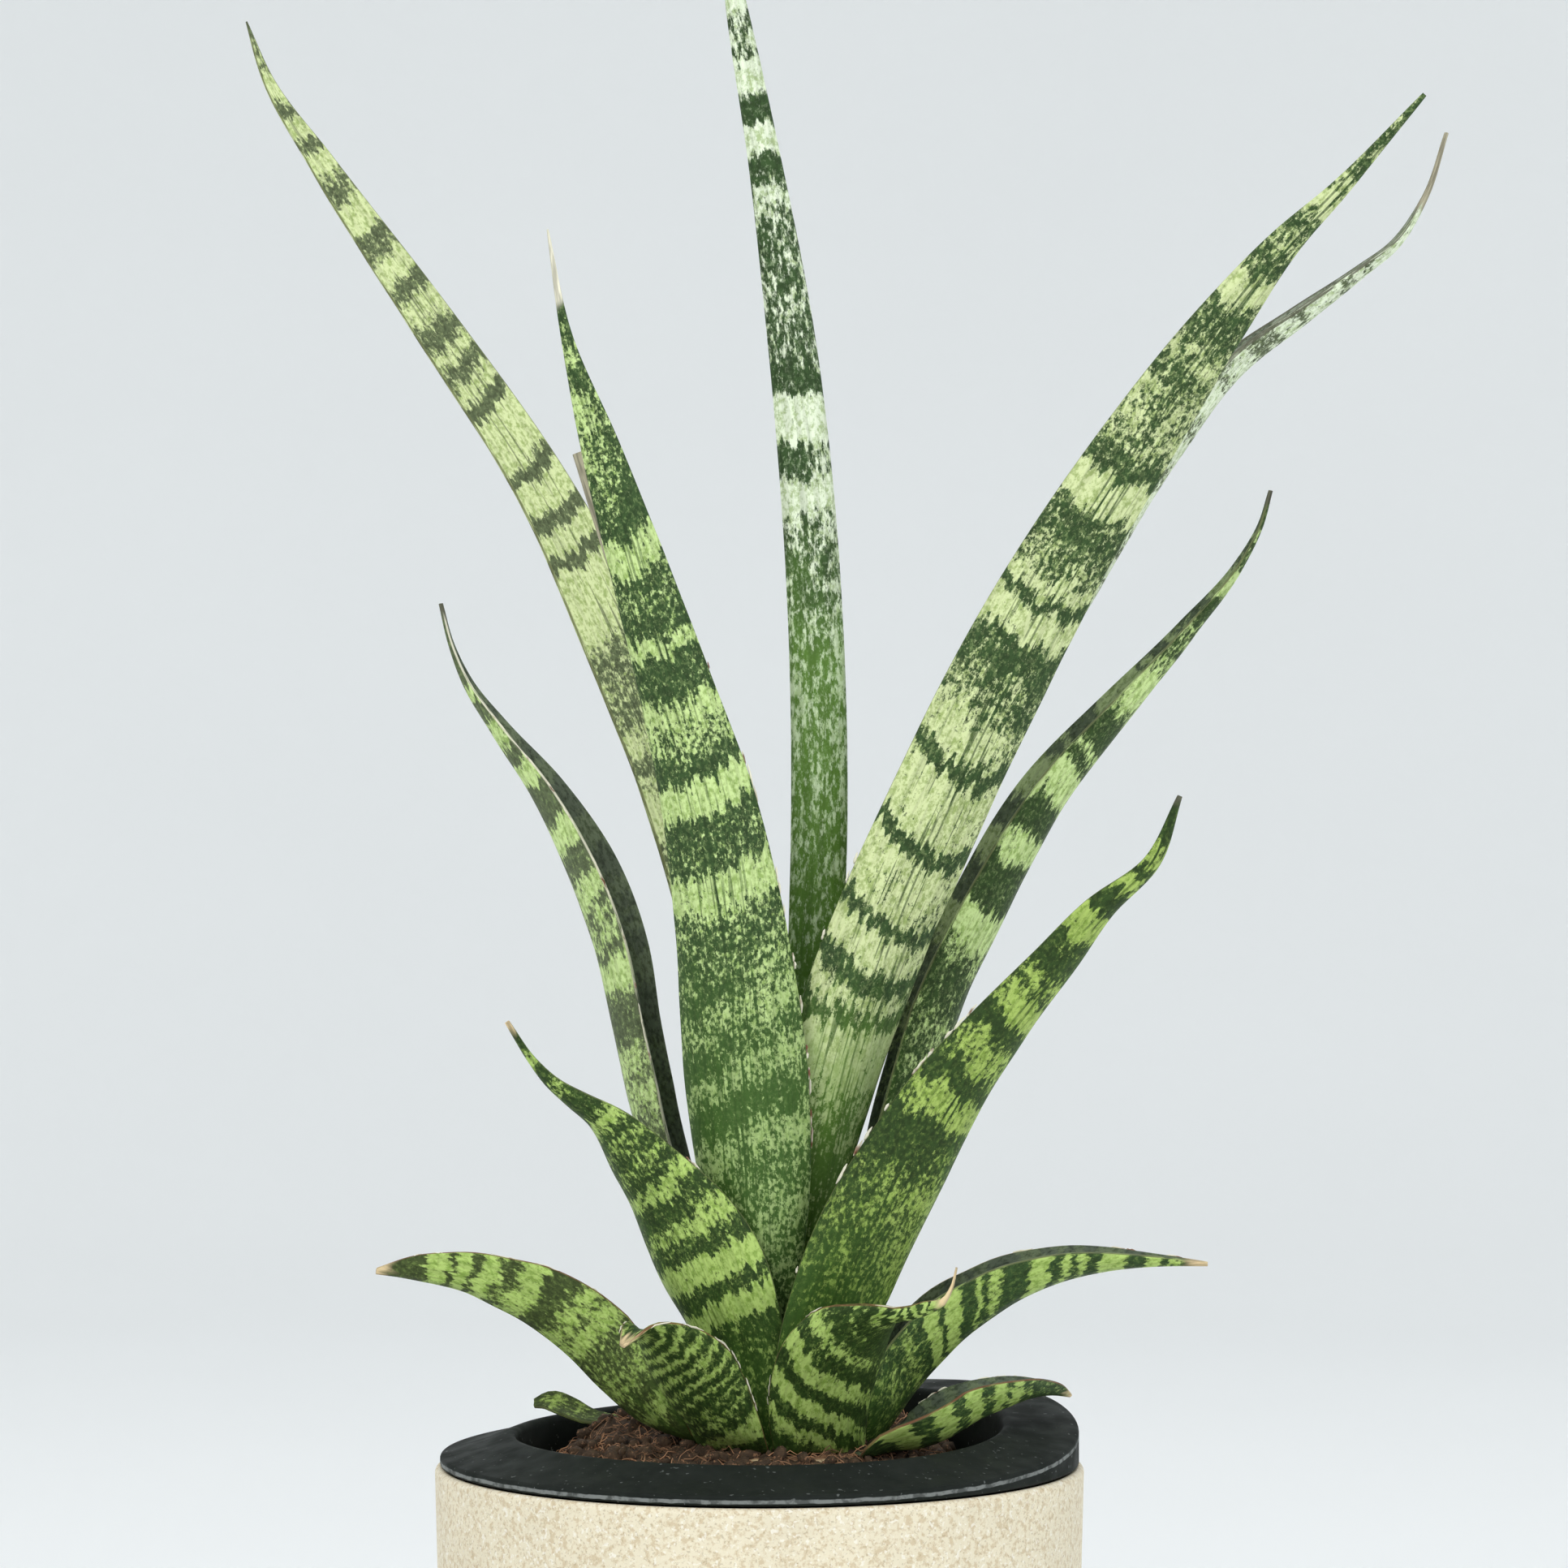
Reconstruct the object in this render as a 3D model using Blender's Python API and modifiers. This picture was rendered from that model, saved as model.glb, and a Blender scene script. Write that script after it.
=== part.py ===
"""A snake plant in a black grow liner and a cream pot, in metres, with +Z up.

The origin is the centre of the pot's flat bottom, and -Y is the front. Sizes below are in millimetres,
and a height called "above the rim" is measured from the top of the pot's wall.
"""

import math
from dataclasses import dataclass

import bmesh
import bpy
import numpy as np

MM = 0.001
CLEAR = 0.3

POT_HEIGHT = 120.0
POT_RADIUS = 65.0
POT_FOOT_RADIUS = 62.0
POT_WALL = 2.5
POT_FLOOR = 4.0
POT_EDGE_ROUND = 4.0
POT_TURN_STEPS = 56

COLLAR_RADIUS = 64.0
COLLAR_EDGE = 2.1
COLLAR_CREST_RADIUS = 50.5
COLLAR_CREST = 6.3
COLLAR_SKIN = 1.6
COLLAR_LIFT = 9.0
COLLAR_LIFT_AZIMUTH = 40.0
LINER_MOUTH_RADIUS = 48.5
LINER_FOOT_RADIUS = 38.0
LINER_WALL = 1.5
LINER_DEPTH = 90.0
LINER_TURN_STEPS = 56
DRAIN_HOLES = 6
DRAIN_HOLE_RADIUS = 3.0
DRAIN_RING_RADIUS = 24.0

SOIL_TOP = 3.8
SOIL_BACK_RISE = 2.0
SOIL_HOLLOW_DEPTH = 11.0
SOIL_HOLLOW_START = 30.0
SOIL_TURN_STEPS = 40

CROWN_X = 5.5
CROWN_RADIUS = 22.0
CROWN_FOOT_RADIUS = 15.0
CROWN_TOP = 3.8
CROWN_DEPTH = 12.0
CROWN_TURN_STEPS = 36

# Each ring of the rosette has its mid-line radius, the innermost leaf standing on the crown's axis.
RING_RADIUS = (0.0, 7.2, 10.8, 14.2, 17.4, 20.3)
LEAF_EDGE = 0.7
LEAF_TIP_HALF_WIDTH = 0.45
LEAF_STATION_STEP = 15.0
LEAF_FEWEST_STATIONS = 9
LEAF_TIP_CROWDING = 1.4
LEAF_FACE_POINTS = 5
LEAF_UPRIGHT_LENGTH = 16.0
FOLD_STEPS = 33

GREEN = (0.13, 0.21, 0.08)
PALE_GREEN = (0.33, 0.45, 0.16)


@dataclass
class Leaf:
    """One leaf. Its rows are x, y, height above the rim and half width along the curve of the blade.

    azimuth and wrap place its base on a ring of the crown, in degrees, with 0 at +X and -90 at the front.
    face is the azimuth that the outer face looks to, curl is how far each margin turns in, in degrees,
    and thick is the thickness at the midrib. These three are given at the base, the middle and the tip.
    keel is 1 for a blade curled in a round arc, and nears 0 as it turns into a V folded at the midrib.
    roll turns the blade about its own length, in degrees, at the base, the middle and the tip.
    """

    name: str
    ring: int
    azimuth: float
    wrap: float
    rows: tuple
    face: tuple
    curl: tuple
    thick: tuple
    keel: float = 1.0
    roll: tuple = (0, 0, 0)


LEAVES = (
    Leaf(
        "leaf_middle_tall", 0, -90, 60,
        ((8.5, 1.5, 49, 4.6), (11, 2, 98, 5.4), (12, 3, 131, 5.6), (11.5, 3, 163, 5.5), (9.5, 4, 196, 5.3),
         (6, 5, 229, 4.7), (1, 6, 262, 3.3), (-5, 7, 295, 2.0), (-8, 8, 313, 0.45)),
        (-90, -90, -90), (12, 12, 12), (7.6, 9.4, 3.0),
    ),
    Leaf(
        "leaf_right_tall", 1, -50, 55,
        ((9.7, -6.2, 24, 7.0), (9.5, -7.6, 42, 7.6), (11.6, -9.6, 58, 9.6), (17.2, -12.5, 82, 11.4),
         (21, -14, 95, 11.9), (25.4, -15, 107, 11.6), (35.8, -17, 131, 11.2), (47.2, -20, 155, 10.9),
         (60, -22, 179, 9.8), (74.3, -25, 202, 8.4),
         (90.5, -28, 226, 5.8), (103, -30, 242, 3.2), (112, -31, 251, 1.5), (129, -35, 270, 0.45)),
        (-50, -72, -75), (55, 34, 26), (3.0, 3.4, 0.9),
    ),
    Leaf(
        "leaf_back_left_tall", 1, 130, 55,
        ((3, 8, 26, 6.6), (0.5, 11, 52, 7.0), (-5.5, 14, 90, 8.2), (-15.5, 17, 131, 8.6),
         (-28.7, 22, 164, 8.1), (-45.5, 27, 198, 6.2), (-67.5, 31, 231, 5.0), (-91, 35, 265, 2.9),
         (-102.5, 37, 283, 1.2), (-107, 38, 295, 0.45)),
        (130, 105, 100), (55, 32, 26), (3.0, 3.2, 0.9),
    ),
    Leaf(
        "leaf_front_tall", 2, -105, 38,
        ((1.8, -10.6, 16, 7.0), (0, -11.2, 28, 7.3), (-0.9, -13.4, 38, 9.0), (-1.2, -17, 51, 11.2),
         (-3, -20, 75, 13.3),
         (-6, -23, 107, 11.8), (-10, -25, 131, 10.1), (-16.5, -27, 155, 7.8), (-23.5, -29, 178, 6.0),
         (-31, -30, 202, 3.9), (-37.5, -32, 224, 1.3), (-41, -33, 244, 0.45)),
        (-105, -98, -95), (42, 40, 30), (3.0, 3.6, 0.9),
    ),
    Leaf(
        "leaf_right_back_slim", 2, 40, 30,
        ((16, 8, 50, 5.5), (26, 12, 94, 7.0), (42, 14, 132, 8.0), (65.5, 16, 171.5, 8.5), (85.5, 18, 203.8, 8.2),
         (98.5, 19, 220.8, 6.8), (111.5, 20, 231, 5.2), (124, 21, 241, 3.0), (130, 21, 246, 2.2),
         (136.5, 22, 256.5, 1.0), (141, 24, 270, 0.45)),
        (40, 15, 10), (30, 64, 55), (2.8, 2.4, 0.9), 0.4,
    ),
    Leaf(
        "leaf_hidden_slim", 2, 170, 20,
        ((-6, 0, 50, 3.6), (-12, -3, 100, 3.4), (-21, -4, 150, 3.0), (-31, -4, 182, 2.4),
         (-37, -4, 202, 1.0)),
        (170, 190, 200), (20, 35, 30), (2.6, 2.0, 0.9),
    ),
    Leaf(
        "leaf_right_channelled", 3, 10, 25,
        ((29.5, 3, 66, 11.4), (35.5, 4, 81, 13), (41.5, 5, 96, 13.6), (48.5, 6, 110, 13.8),
         (60.5, 8, 132, 12.2), (75.5, 10, 151.5, 8.2), (88, 12, 167, 4.6), (97.5, 13, 180, 2.0),
         (102, 14, 189, 0.8), (104, 15, 196, 0.45)),
        (2, 4, 18), (25, 64, 50), (2.8, 2.8, 0.9), 0.4,
    ),
    Leaf(
        "leaf_front_right_broad", 3, -52, 36,
        ((13.7, -15, 22, 11), (18.6, -18, 36, 12.7), (24, -21, 48.7, 12.8), (31, -24, 62.4, 11.5),
         (38.4, -27, 75.4, 9.8), (47.5, -30, 88, 7.7), (57.5, -33, 100.5, 5.8), (66, -36, 111.3, 4.1),
         (76, -39, 121, 2.1), (81, -42, 134, 0.45)),
        (-52, -64, -64), (36, 42, 36), (2.8, 3.2, 0.9),
    ),
    Leaf(
        "leaf_left_channelled", 3, 160, 25,
        ((-12.5, 6.5, 27, 6.4), (-18, 6, 50, 8.6), (-24.5, 6, 70, 9.8), (-28.5, 6.5, 87, 10.4),
         (-32, 7, 102, 11.8), (-37.5, 8, 117, 12.0), (-45.5, 9, 134, 8.2), (-54, 11, 147, 4.4),
         (-60, 13, 157, 2.0), (-63, 14, 165, 0.8), (-65, 15, 173, 0.45)),
        (174, 167, 166), (25, 64, 50), (2.8, 2.8, 0.9), 0.4,
    ),
    Leaf(
        "leaf_front_left_broad", 3, -132, 38,
        ((-7, -14.3, 28, 12.9), (-10.5, -16, 36, 14.5), (-14, -17.5, 44, 14.2), (-18.2, -19, 52, 12.4),
         (-23, -21, 59.2, 10.0), (-30.7, -24, 69.8, 5.4), (-36, -25.5, 74, 3.4), (-40.5, -27, 77.8, 1.9),
         (-44, -28, 82, 1.0), (-49, -30, 90, 0.45)),
        (-132, -122, -122), (38, 42, 36), (2.8, 3.0, 0.9),
    ),
    Leaf(
        "leaf_left_arching", 4, 178, 18,
        ((-25, -3, 11, 13.2), (-31, -4, 16.5, 14.4), (-36.5, -5, 22.3, 14.6), (-41.5, -6, 26.5, 14.3),
         (-47, -7, 30.3, 13.2), (-52.5, -8, 33.2, 11.4), (-58.5, -9, 36, 9.2), (-64, -10, 37.5, 7.2),
         (-69.5, -11, 38.5, 5.2), (-76, -12, 39.5, 1.0)),
        (178, 186, 186), (34, 68, 64), (2.6, 2.8, 0.9), 0.35, (0, 14, 14),
    ),
    Leaf(
        "leaf_front_left_short", 4, -133, 31,
        ((-9.2, -20.3, 10.2, 10.0), (-13.2, -25.4, 17.6, 11.2), (-16.2, -30.5, 24, 10.6), (-19.8, -35.5, 28.8, 7.2),
         (-23.4, -39.5, 30.4, 3.8), (-26.2, -42, 28.2, 0.6)),
        (-130, -118, -118), (30, 46, 48), (2.6, 3.0, 0.9),
    ),
    Leaf(
        "leaf_front_right_short", 4, -64, 34,
        ((13.4, -21, 12, 11.8), (15, -25.5, 19, 13.0), (17.6, -31, 26, 12.6), (21.4, -35, 30.8, 10.2),
         (24.8, -37.5, 32.8, 6.0), (28.8, -38.5, 33.6, 3.1), (32.6, -38.8, 34.8, 2.3), (35.8, -38.8, 36.6, 0.9),
         (37.2, -38.8, 39, 0.45), (38.2, -38.8, 43, 0.45)),
        (-64, -62, -60), (34, 48, 48), (2.6, 3.0, 0.9),
    ),
    Leaf(
        "leaf_right_arching", 4, 0, 22,
        ((29.8, -1, 14.5, 13.8), (34.8, -2, 20.5, 13.8), (40, -3, 26, 12.8), (45, -4, 30, 11.2),
         (50.5, -5, 33.7, 10), (56.5, -6, 36.5, 8.4), (63, -7, 38.7, 6.7), (69, -8, 40, 4.9),
         (75, -9, 40.7, 3.2), (81.5, -10, 41, 1.8), (89, -11, 41, 0.45)),
        (0, -4, -4), (46, 72, 60), (2.6, 2.6, 0.9), 0.3, (0, 5, 5),
    ),
    Leaf(
        "leaf_right_low", 5, -32, 17,
        ((26.5, -17.5, 5.4, 8.8), (31.5, -18, 6.2, 10.8), (37, -16.4, 8.0, 11.0), (42.5, -12.6, 10.6, 10.4),
         (48.5, -7.5, 12.6, 8.6), (54.5, -1.5, 13.8, 6.0), (59, 2.5, 13.8, 3.4), (62.5, 5.5, 13.0, 0.6)),
        (-32, 8, 40), (17, 60, 50), (2.0, 2.0, 0.9), 0.5, (0, -2, 2),
    ),
    Leaf(
        "leaf_back_left_tiny", 5, 140, 9,
        ((-14.5, 14.8, 6.6, 2.2), (-21, 17, 6.0, 1.8), (-30, 20.5, 5.9, 1.7), (-35.5, 23, 6.4, 2.3),
         (-39.5, 25, 8.0, 2.6), (-43.5, 27, 9.2, 2.2), (-46.5, 28, 8.6, 1.0)),
        (140, 150, 150), (9, 30, 30), (1.6, 1.6, 0.9), 1, (0, -8, -58),
    ),
)


def principled(name, colour, roughness, metallic=0.0):
    """A material with one Principled BSDF of this colour."""
    material = bpy.data.materials.new(name)
    material.use_nodes = True
    material.diffuse_color = (*colour, 1.0)
    shader = material.node_tree.nodes["Principled BSDF"]
    shader.inputs["Base Color"].default_value = (*colour, 1.0)
    shader.inputs["Roughness"].default_value = roughness
    shader.inputs["Metallic"].default_value = metallic
    return material


def new_object(name, bm, collection, material=None):
    """An object from a bmesh, with its faces turned outwards and its round sides shaded smooth."""
    bmesh.ops.recalc_face_normals(bm, faces=bm.faces)
    mesh = bpy.data.meshes.new(name)
    bm.to_mesh(mesh)
    bm.free()
    mesh.shade_smooth()
    mesh.set_sharp_from_angle(angle=math.radians(40))
    obj = bpy.data.objects.new(name, mesh)
    collection.objects.link(obj)
    if material:
        mesh.materials.append(material)
    return obj


def new_collection(name):
    collection = bpy.data.collections.new(name)
    bpy.context.scene.collection.children.link(collection)
    return collection


def from_rim(height):
    """World height in metres of a height above the rim in millimetres."""
    return (POT_HEIGHT + height) * MM


def arc(centre_r, centre_z, radius, start, end, count):
    """Points (r, z) along an arc from start to end degrees."""
    angles = np.radians(np.linspace(start, end, count))
    return [(centre_r + radius * math.cos(a), centre_z + radius * math.sin(a)) for a in angles]


def turned_object(name, profile, steps, collection, material):
    """An object turned round its Z axis by a Screw modifier, from a profile in metres."""
    mesh = bpy.data.meshes.new(name)
    edges = [(i, i + 1) for i in range(len(profile) - 1)]
    mesh.from_pydata([(r, 0, z) for r, z in profile], edges, [])
    mesh.materials.append(material)
    obj = bpy.data.objects.new(name, mesh)
    collection.objects.link(obj)
    screw = obj.modifiers.new("turn", "SCREW")
    screw.steps = screw.render_steps = steps
    screw.use_merge_vertices = True
    screw.merge_threshold = 0.00001
    screw.use_normal_calculate = True
    return obj


def turned(profile, steps):
    """A bmesh turned round the Z axis from a profile in metres, for a shape whose points are then moved."""
    bm = bmesh.new()
    points = [bm.verts.new((r, 0, z)) for r, z in profile]
    edges = [bm.edges.new(pair) for pair in zip(points, points[1:])]
    bmesh.ops.spin(
        bm, geom=points + edges, cent=(0, 0, 0), axis=(0, 0, 1), angle=math.tau, steps=steps, use_merge=True
    )
    bmesh.ops.remove_doubles(bm, verts=bm.verts, dist=0.00001)
    return bm


def cylinder_cutter(name, collection, radius, bottom, top, x=0.0, y=0.0, sides=36):
    """A hidden upright cylinder for a Boolean, in millimetres, with its ends above the rim."""
    bm = bmesh.new()
    height = (top - bottom) * MM
    bmesh.ops.create_cone(
        bm, cap_ends=True, segments=sides, radius1=radius * MM, radius2=radius * MM, depth=height
    )
    bmesh.ops.translate(bm, verts=bm.verts, vec=(x * MM, y * MM, from_rim(bottom) + height / 2))
    cutter = new_object(name, bm, collection)
    cutter.hide_render = True
    cutter.display_type = "WIRE"
    return cutter


def cut(obj, cutter):
    """Cuts one cutter from the object with the exact solver."""
    boolean = obj.modifiers.new(f"cut_{cutter.name}", "BOOLEAN")
    boolean.operation = "DIFFERENCE"
    boolean.solver = "EXACT"
    boolean.object = cutter


def make_pot(collection):
    """The outer pot: a slightly tapered shell with a rounded foot and a rounded rim."""
    lip = POT_WALL / 2
    wall_lean = (POT_RADIUS - POT_FOOT_RADIUS) / POT_HEIGHT
    inner_foot = POT_FOOT_RADIUS + wall_lean * POT_FLOOR - POT_WALL
    profile = [(0, POT_FLOOR), (inner_foot - 2, POT_FLOOR), (inner_foot, POT_FLOOR + 2)]
    profile += arc(POT_RADIUS - lip, POT_HEIGHT - lip, lip, 180, 0, 5)
    profile += arc(POT_FOOT_RADIUS - POT_EDGE_ROUND, POT_EDGE_ROUND, POT_EDGE_ROUND, 0, -90, 4)
    profile += [(0, 0)]
    stone = principled("pot_stone", (0.77, 0.70, 0.53), 0.7)
    return turned_object(
        "outer_pot", [(r * MM, z * MM) for r, z in profile], POT_TURN_STEPS, collection, stone
    )


def collar_lift(azimuth):
    """How far the collar's top stands above its low front edge, in millimetres, at an azimuth."""
    turn = azimuth - math.radians(COLLAR_LIFT_AZIMUTH)
    return COLLAR_LIFT * ((1 + math.cos(turn)) / 2) ** 4


def liner_profile():
    """Points (r, height above the rim, share of the lift) of the liner, outer bottom to inner bottom."""
    seat = CLEAR
    crest_out = COLLAR_CREST_RADIUS + 1.0
    outer_mouth = LINER_MOUTH_RADIUS + LINER_WALL
    return [
        (0, -LINER_DEPTH, 0),
        (LINER_FOOT_RADIUS - 2, -LINER_DEPTH, 0),
        (LINER_FOOT_RADIUS, -LINER_DEPTH + 2, 0),
        (outer_mouth - 0.5, -8, 0),
        (outer_mouth, COLLAR_CREST - 2.6, 0.5),
        (crest_out, COLLAR_CREST - COLLAR_SKIN, 0.5),
        (POT_RADIUS - POT_WALL - 1.2, seat + 0.9, 0.8),
        (POT_RADIUS - POT_WALL - 0.8, seat, 0),
        (COLLAR_RADIUS - 0.4, seat, 0),
        (COLLAR_RADIUS, seat + 0.5, 0),
        (COLLAR_RADIUS, seat + COLLAR_EDGE - 0.5, 1),
        (COLLAR_RADIUS - 0.8, seat + COLLAR_EDGE, 1),
        (COLLAR_CREST_RADIUS + 0.8, COLLAR_CREST - 0.3, 0.5),
        (COLLAR_CREST_RADIUS - 0.4, COLLAR_CREST, 0.5),
        (LINER_MOUTH_RADIUS + 0.4, COLLAR_CREST - 0.5, 0.5),
        (LINER_MOUTH_RADIUS, COLLAR_CREST - 2, 0.5),
        (LINER_MOUTH_RADIUS - 0.5, -8, 0),
        (LINER_FOOT_RADIUS - LINER_WALL, -LINER_DEPTH + 3, 0),
        (LINER_FOOT_RADIUS - LINER_WALL - 1, -LINER_DEPTH + LINER_WALL, 0),
        (0, -LINER_DEPTH + LINER_WALL, 0),
    ]


def make_liner(collection, cutters):
    """The grow liner: a tapered inner pot whose wide collar rests on the outer pot's rim."""
    profile = liner_profile()
    bm = turned([(r * MM, from_rim(z)) for r, z, _ in profile], LINER_TURN_STEPS)
    shares = {(round(r, 2), round(z, 2)): share for r, z, share in profile}
    for vert in bm.verts:
        x, y, z = vert.co
        place = (round(math.hypot(x, y) / MM, 2), round(z / MM - POT_HEIGHT, 2))
        vert.co.z += shares[place] * collar_lift(math.atan2(y, x)) * MM
    liner = new_object("grow_liner", bm, collection, principled("liner_plastic", (0.025, 0.028, 0.025), 0.45))
    for i in range(DRAIN_HOLES):
        turn = math.tau * i / DRAIN_HOLES
        cutter = cylinder_cutter(
            f"drain_hole_{i + 1}", cutters, DRAIN_HOLE_RADIUS, -LINER_DEPTH - 2, -LINER_DEPTH + 4,
            DRAIN_RING_RADIUS * math.cos(turn), DRAIN_RING_RADIUS * math.sin(turn), sides=10,
        )
        cut(liner, cutter)
    return liner


def soil_height(x, y):
    """Height of the soil above the rim: it rises to the back and sinks into a hollow at the left and right."""
    side = max(0.0, (abs(x) - SOIL_HOLLOW_START) / (LINER_MOUTH_RADIUS - SOIL_HOLLOW_START))
    return SOIL_TOP + SOIL_BACK_RISE * y / LINER_MOUTH_RADIUS - SOIL_HOLLOW_DEPTH * side**1.3


def make_soil(collection, cutters):
    """The potting mix: it fills the liner to just below the collar, with a pocket for the crown."""
    wall_top = LINER_MOUTH_RADIUS - 1.1
    wall_foot = LINER_FOOT_RADIUS - LINER_WALL - CLEAR
    floor = -LINER_DEPTH + LINER_WALL + CLEAR
    rings = (0, 14, SOIL_HOLLOW_START, 35, 40, wall_top)
    profile = [(r, SOIL_TOP) for r in rings]
    profile += [(wall_top, -9), (wall_foot, floor + 2.5), (wall_foot - 1.5, floor), (0, floor)]
    bm = turned([(r * MM, from_rim(z)) for r, z in profile], SOIL_TURN_STEPS)
    for vert in bm.verts:
        if abs(vert.co.z - from_rim(SOIL_TOP)) < 0.01 * MM:
            vert.co.z = from_rim(soil_height(vert.co.x / MM, vert.co.y / MM))
    soil = new_object("soil", bm, collection, principled("potting_soil", (0.07, 0.035, 0.02), 0.95))
    pocket = cylinder_cutter(
        "crown_pocket", cutters, CROWN_RADIUS + CLEAR, CROWN_TOP - CROWN_DEPTH - CLEAR, SOIL_TOP + 9, CROWN_X
    )
    cut(soil, pocket)
    return soil


def make_crown(collection):
    """The root crown, a short thick stem with a flat top that every leaf grows from."""
    bottom = CROWN_TOP - CROWN_DEPTH
    profile = [(0, CROWN_TOP), (CROWN_RADIUS - 0.5, CROWN_TOP), (CROWN_RADIUS, CROWN_TOP - 0.5),
               (CROWN_RADIUS, CROWN_TOP - 4), (CROWN_FOOT_RADIUS, bottom), (0, bottom)]
    root = principled("crown_root", (0.35, 0.24, 0.12), 0.8)
    crown = turned_object(
        "root_crown", [(r * MM, from_rim(z)) for r, z in profile], CROWN_TURN_STEPS, collection, root
    )
    crown.location.x = CROWN_X * MM
    return crown


def through(knots, values, at):
    """Values of a smooth curve that passes through the given values at the given knots."""
    knots = np.asarray(knots, float)
    values = np.asarray(values, float)
    slopes = np.gradient(values, knots, axis=0)
    out = []
    for place in at:
        i = int(np.clip(np.searchsorted(knots, place) - 1, 0, len(knots) - 2))
        span = knots[i + 1] - knots[i]
        t = (place - knots[i]) / span
        out.append(
            (2 * t**3 - 3 * t**2 + 1) * values[i] + (3 * t**2 - 2 * t**3) * values[i + 1]
            + (t**3 - 2 * t**2 + t) * span * slopes[i] + (t**3 - t**2) * span * slopes[i + 1]
        )
    return np.array(out)


def unit(vector):
    return vector / np.linalg.norm(vector)


def leaf_rows(leaf):
    """All rows of the leaf, with the one at the crown first."""
    radius = RING_RADIUS[leaf.ring]
    turn = math.radians(leaf.azimuth)
    half_width = radius * math.radians(leaf.wrap) if radius else 4.0
    x = CROWN_X + radius * math.cos(turn)
    base = (x, radius * math.sin(turn), CROWN_TOP + CLEAR, half_width)
    return np.array((base, *leaf.rows), float)


def half_fold(half_width, curl, keel, offsets):
    """From the midrib to one margin: distance sideways, distance inwards and turn at each offset from 0 to 1."""
    fine = np.linspace(0, 1, FOLD_STEPS)
    turn = math.radians(curl) * fine**keel
    step = half_width / (FOLD_STEPS - 1)
    middle = (turn[1:] + turn[:-1]) / 2
    aside = np.concatenate([[0], np.cumsum(np.cos(middle) * step)])
    inward = np.concatenate([[0], np.cumsum(np.sin(middle) * step)])
    return [np.interp(offsets, fine, values) for values in (aside, inward, turn)]


def leaf_section(centre, side, outward, half_width, curl, keel, thick, offsets):
    """Points round one cross-section: the outer face from margin to margin, then the inner face back."""
    outer, inner = [], []
    for u, aside, inward, turn in zip(offsets, *half_fold(half_width, curl, keel, np.abs(offsets))):
        sign = math.copysign(1, u)
        middle = centre + side * sign * aside - outward * inward
        across = side * sign * math.sin(turn) + outward * math.cos(turn)
        half_thick = (LEAF_EDGE + (thick - LEAF_EDGE) * math.sqrt(max(0.0, 1 - u * u))) / 2
        outer.append(middle + across * half_thick)
        inner.append(middle - across * half_thick)
    return outer + inner[::-1]


def leaf_sections(leaf):
    """The cross-sections of a leaf from its base to its tip, each a list of points in millimetres."""
    rows = leaf_rows(leaf)
    knots = np.concatenate([[0], np.cumsum(np.linalg.norm(np.diff(rows[:, :3], axis=0), axis=1))])
    length = knots[-1]
    count = max(LEAF_FEWEST_STATIONS, round(length / LEAF_STATION_STEP))
    places = length * (1 - np.linspace(1, 0, count) ** LEAF_TIP_CROWDING)
    curve = through(knots, rows, places)
    ahead = through(knots, rows, np.minimum(places + 0.5, length))
    behind = through(knots, rows, np.maximum(places - 0.5, 0))
    offsets = np.sin(np.linspace(-math.pi / 2, math.pi / 2, LEAF_FACE_POINTS))
    sections = []
    for i, place in enumerate(places):
        share = place / length
        face, curl, thick, roll = (
            np.interp(share, (0, 0.4, 1), three) for three in (leaf.face, leaf.curl, leaf.thick, leaf.roll)
        )
        keel = np.interp(share, (0, 0.2), (1, leaf.keel))
        upright = np.clip(place / LEAF_UPRIGHT_LENGTH, 0, 1)
        upright = upright * upright * (3 - 2 * upright)
        along = unit(ahead[i, :3] - behind[i, :3])
        along = unit((1 - upright) * np.array((0, 0, 1.0)) + upright * along)
        side = np.array((-math.sin(math.radians(face)), math.cos(math.radians(face)), 0))
        side = unit(side - along * np.dot(side, along))
        outward = np.cross(side, along)
        turn = math.radians(roll)
        side, outward = (
            side * math.cos(turn) - outward * math.sin(turn),
            outward * math.cos(turn) + side * math.sin(turn),
        )
        half_width = max(curve[i, 3], LEAF_TIP_HALF_WIDTH)
        sections.append(leaf_section(curve[i, :3], side, outward, half_width, curl, keel, thick, offsets))
    return sections


def make_leaf(leaf, collection):
    """One leaf, lofted through its cross-sections, split alike on both faces and closed at both ends."""
    bm = bmesh.new()
    rings = []
    for section in leaf_sections(leaf):
        rings.append([bm.verts.new((x * MM, y * MM, from_rim(z))) for x, y, z in section])
    outer_edges = LEAF_FACE_POINTS - 1
    for low, high in zip(rings, rings[1:]):
        for i in range(len(low)):
            j = (i + 1) % len(low)
            if i < outer_edges:
                bm.faces.new((low[i], low[j], high[j]))
                bm.faces.new((low[i], high[j], high[i]))
            else:
                bm.faces.new((low[i], low[j], high[i]))
                bm.faces.new((low[j], high[j], high[i]))
    for ring in (rings[0], rings[-1]):
        for i in range(outer_edges):
            bm.faces.new((ring[i], ring[i + 1], ring[-2 - i]))
            bm.faces.new((ring[i], ring[-2 - i], ring[-1 - i]))
    colour = PALE_GREEN if leaf.ring in (1, 3) else GREEN
    return new_object(leaf.name, bm, collection, principled(f"{leaf.name}_skin", colour, 0.45))


def main():
    for obj in list(bpy.data.objects):
        bpy.data.objects.remove(obj, do_unlink=True)
    plant = new_collection("potted_snake_plant")
    cutters = new_collection("cutters")
    make_pot(plant)
    make_liner(plant, cutters)
    make_soil(plant, cutters)
    make_crown(plant)
    for leaf in LEAVES:
        make_leaf(leaf, plant)


main()
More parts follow.
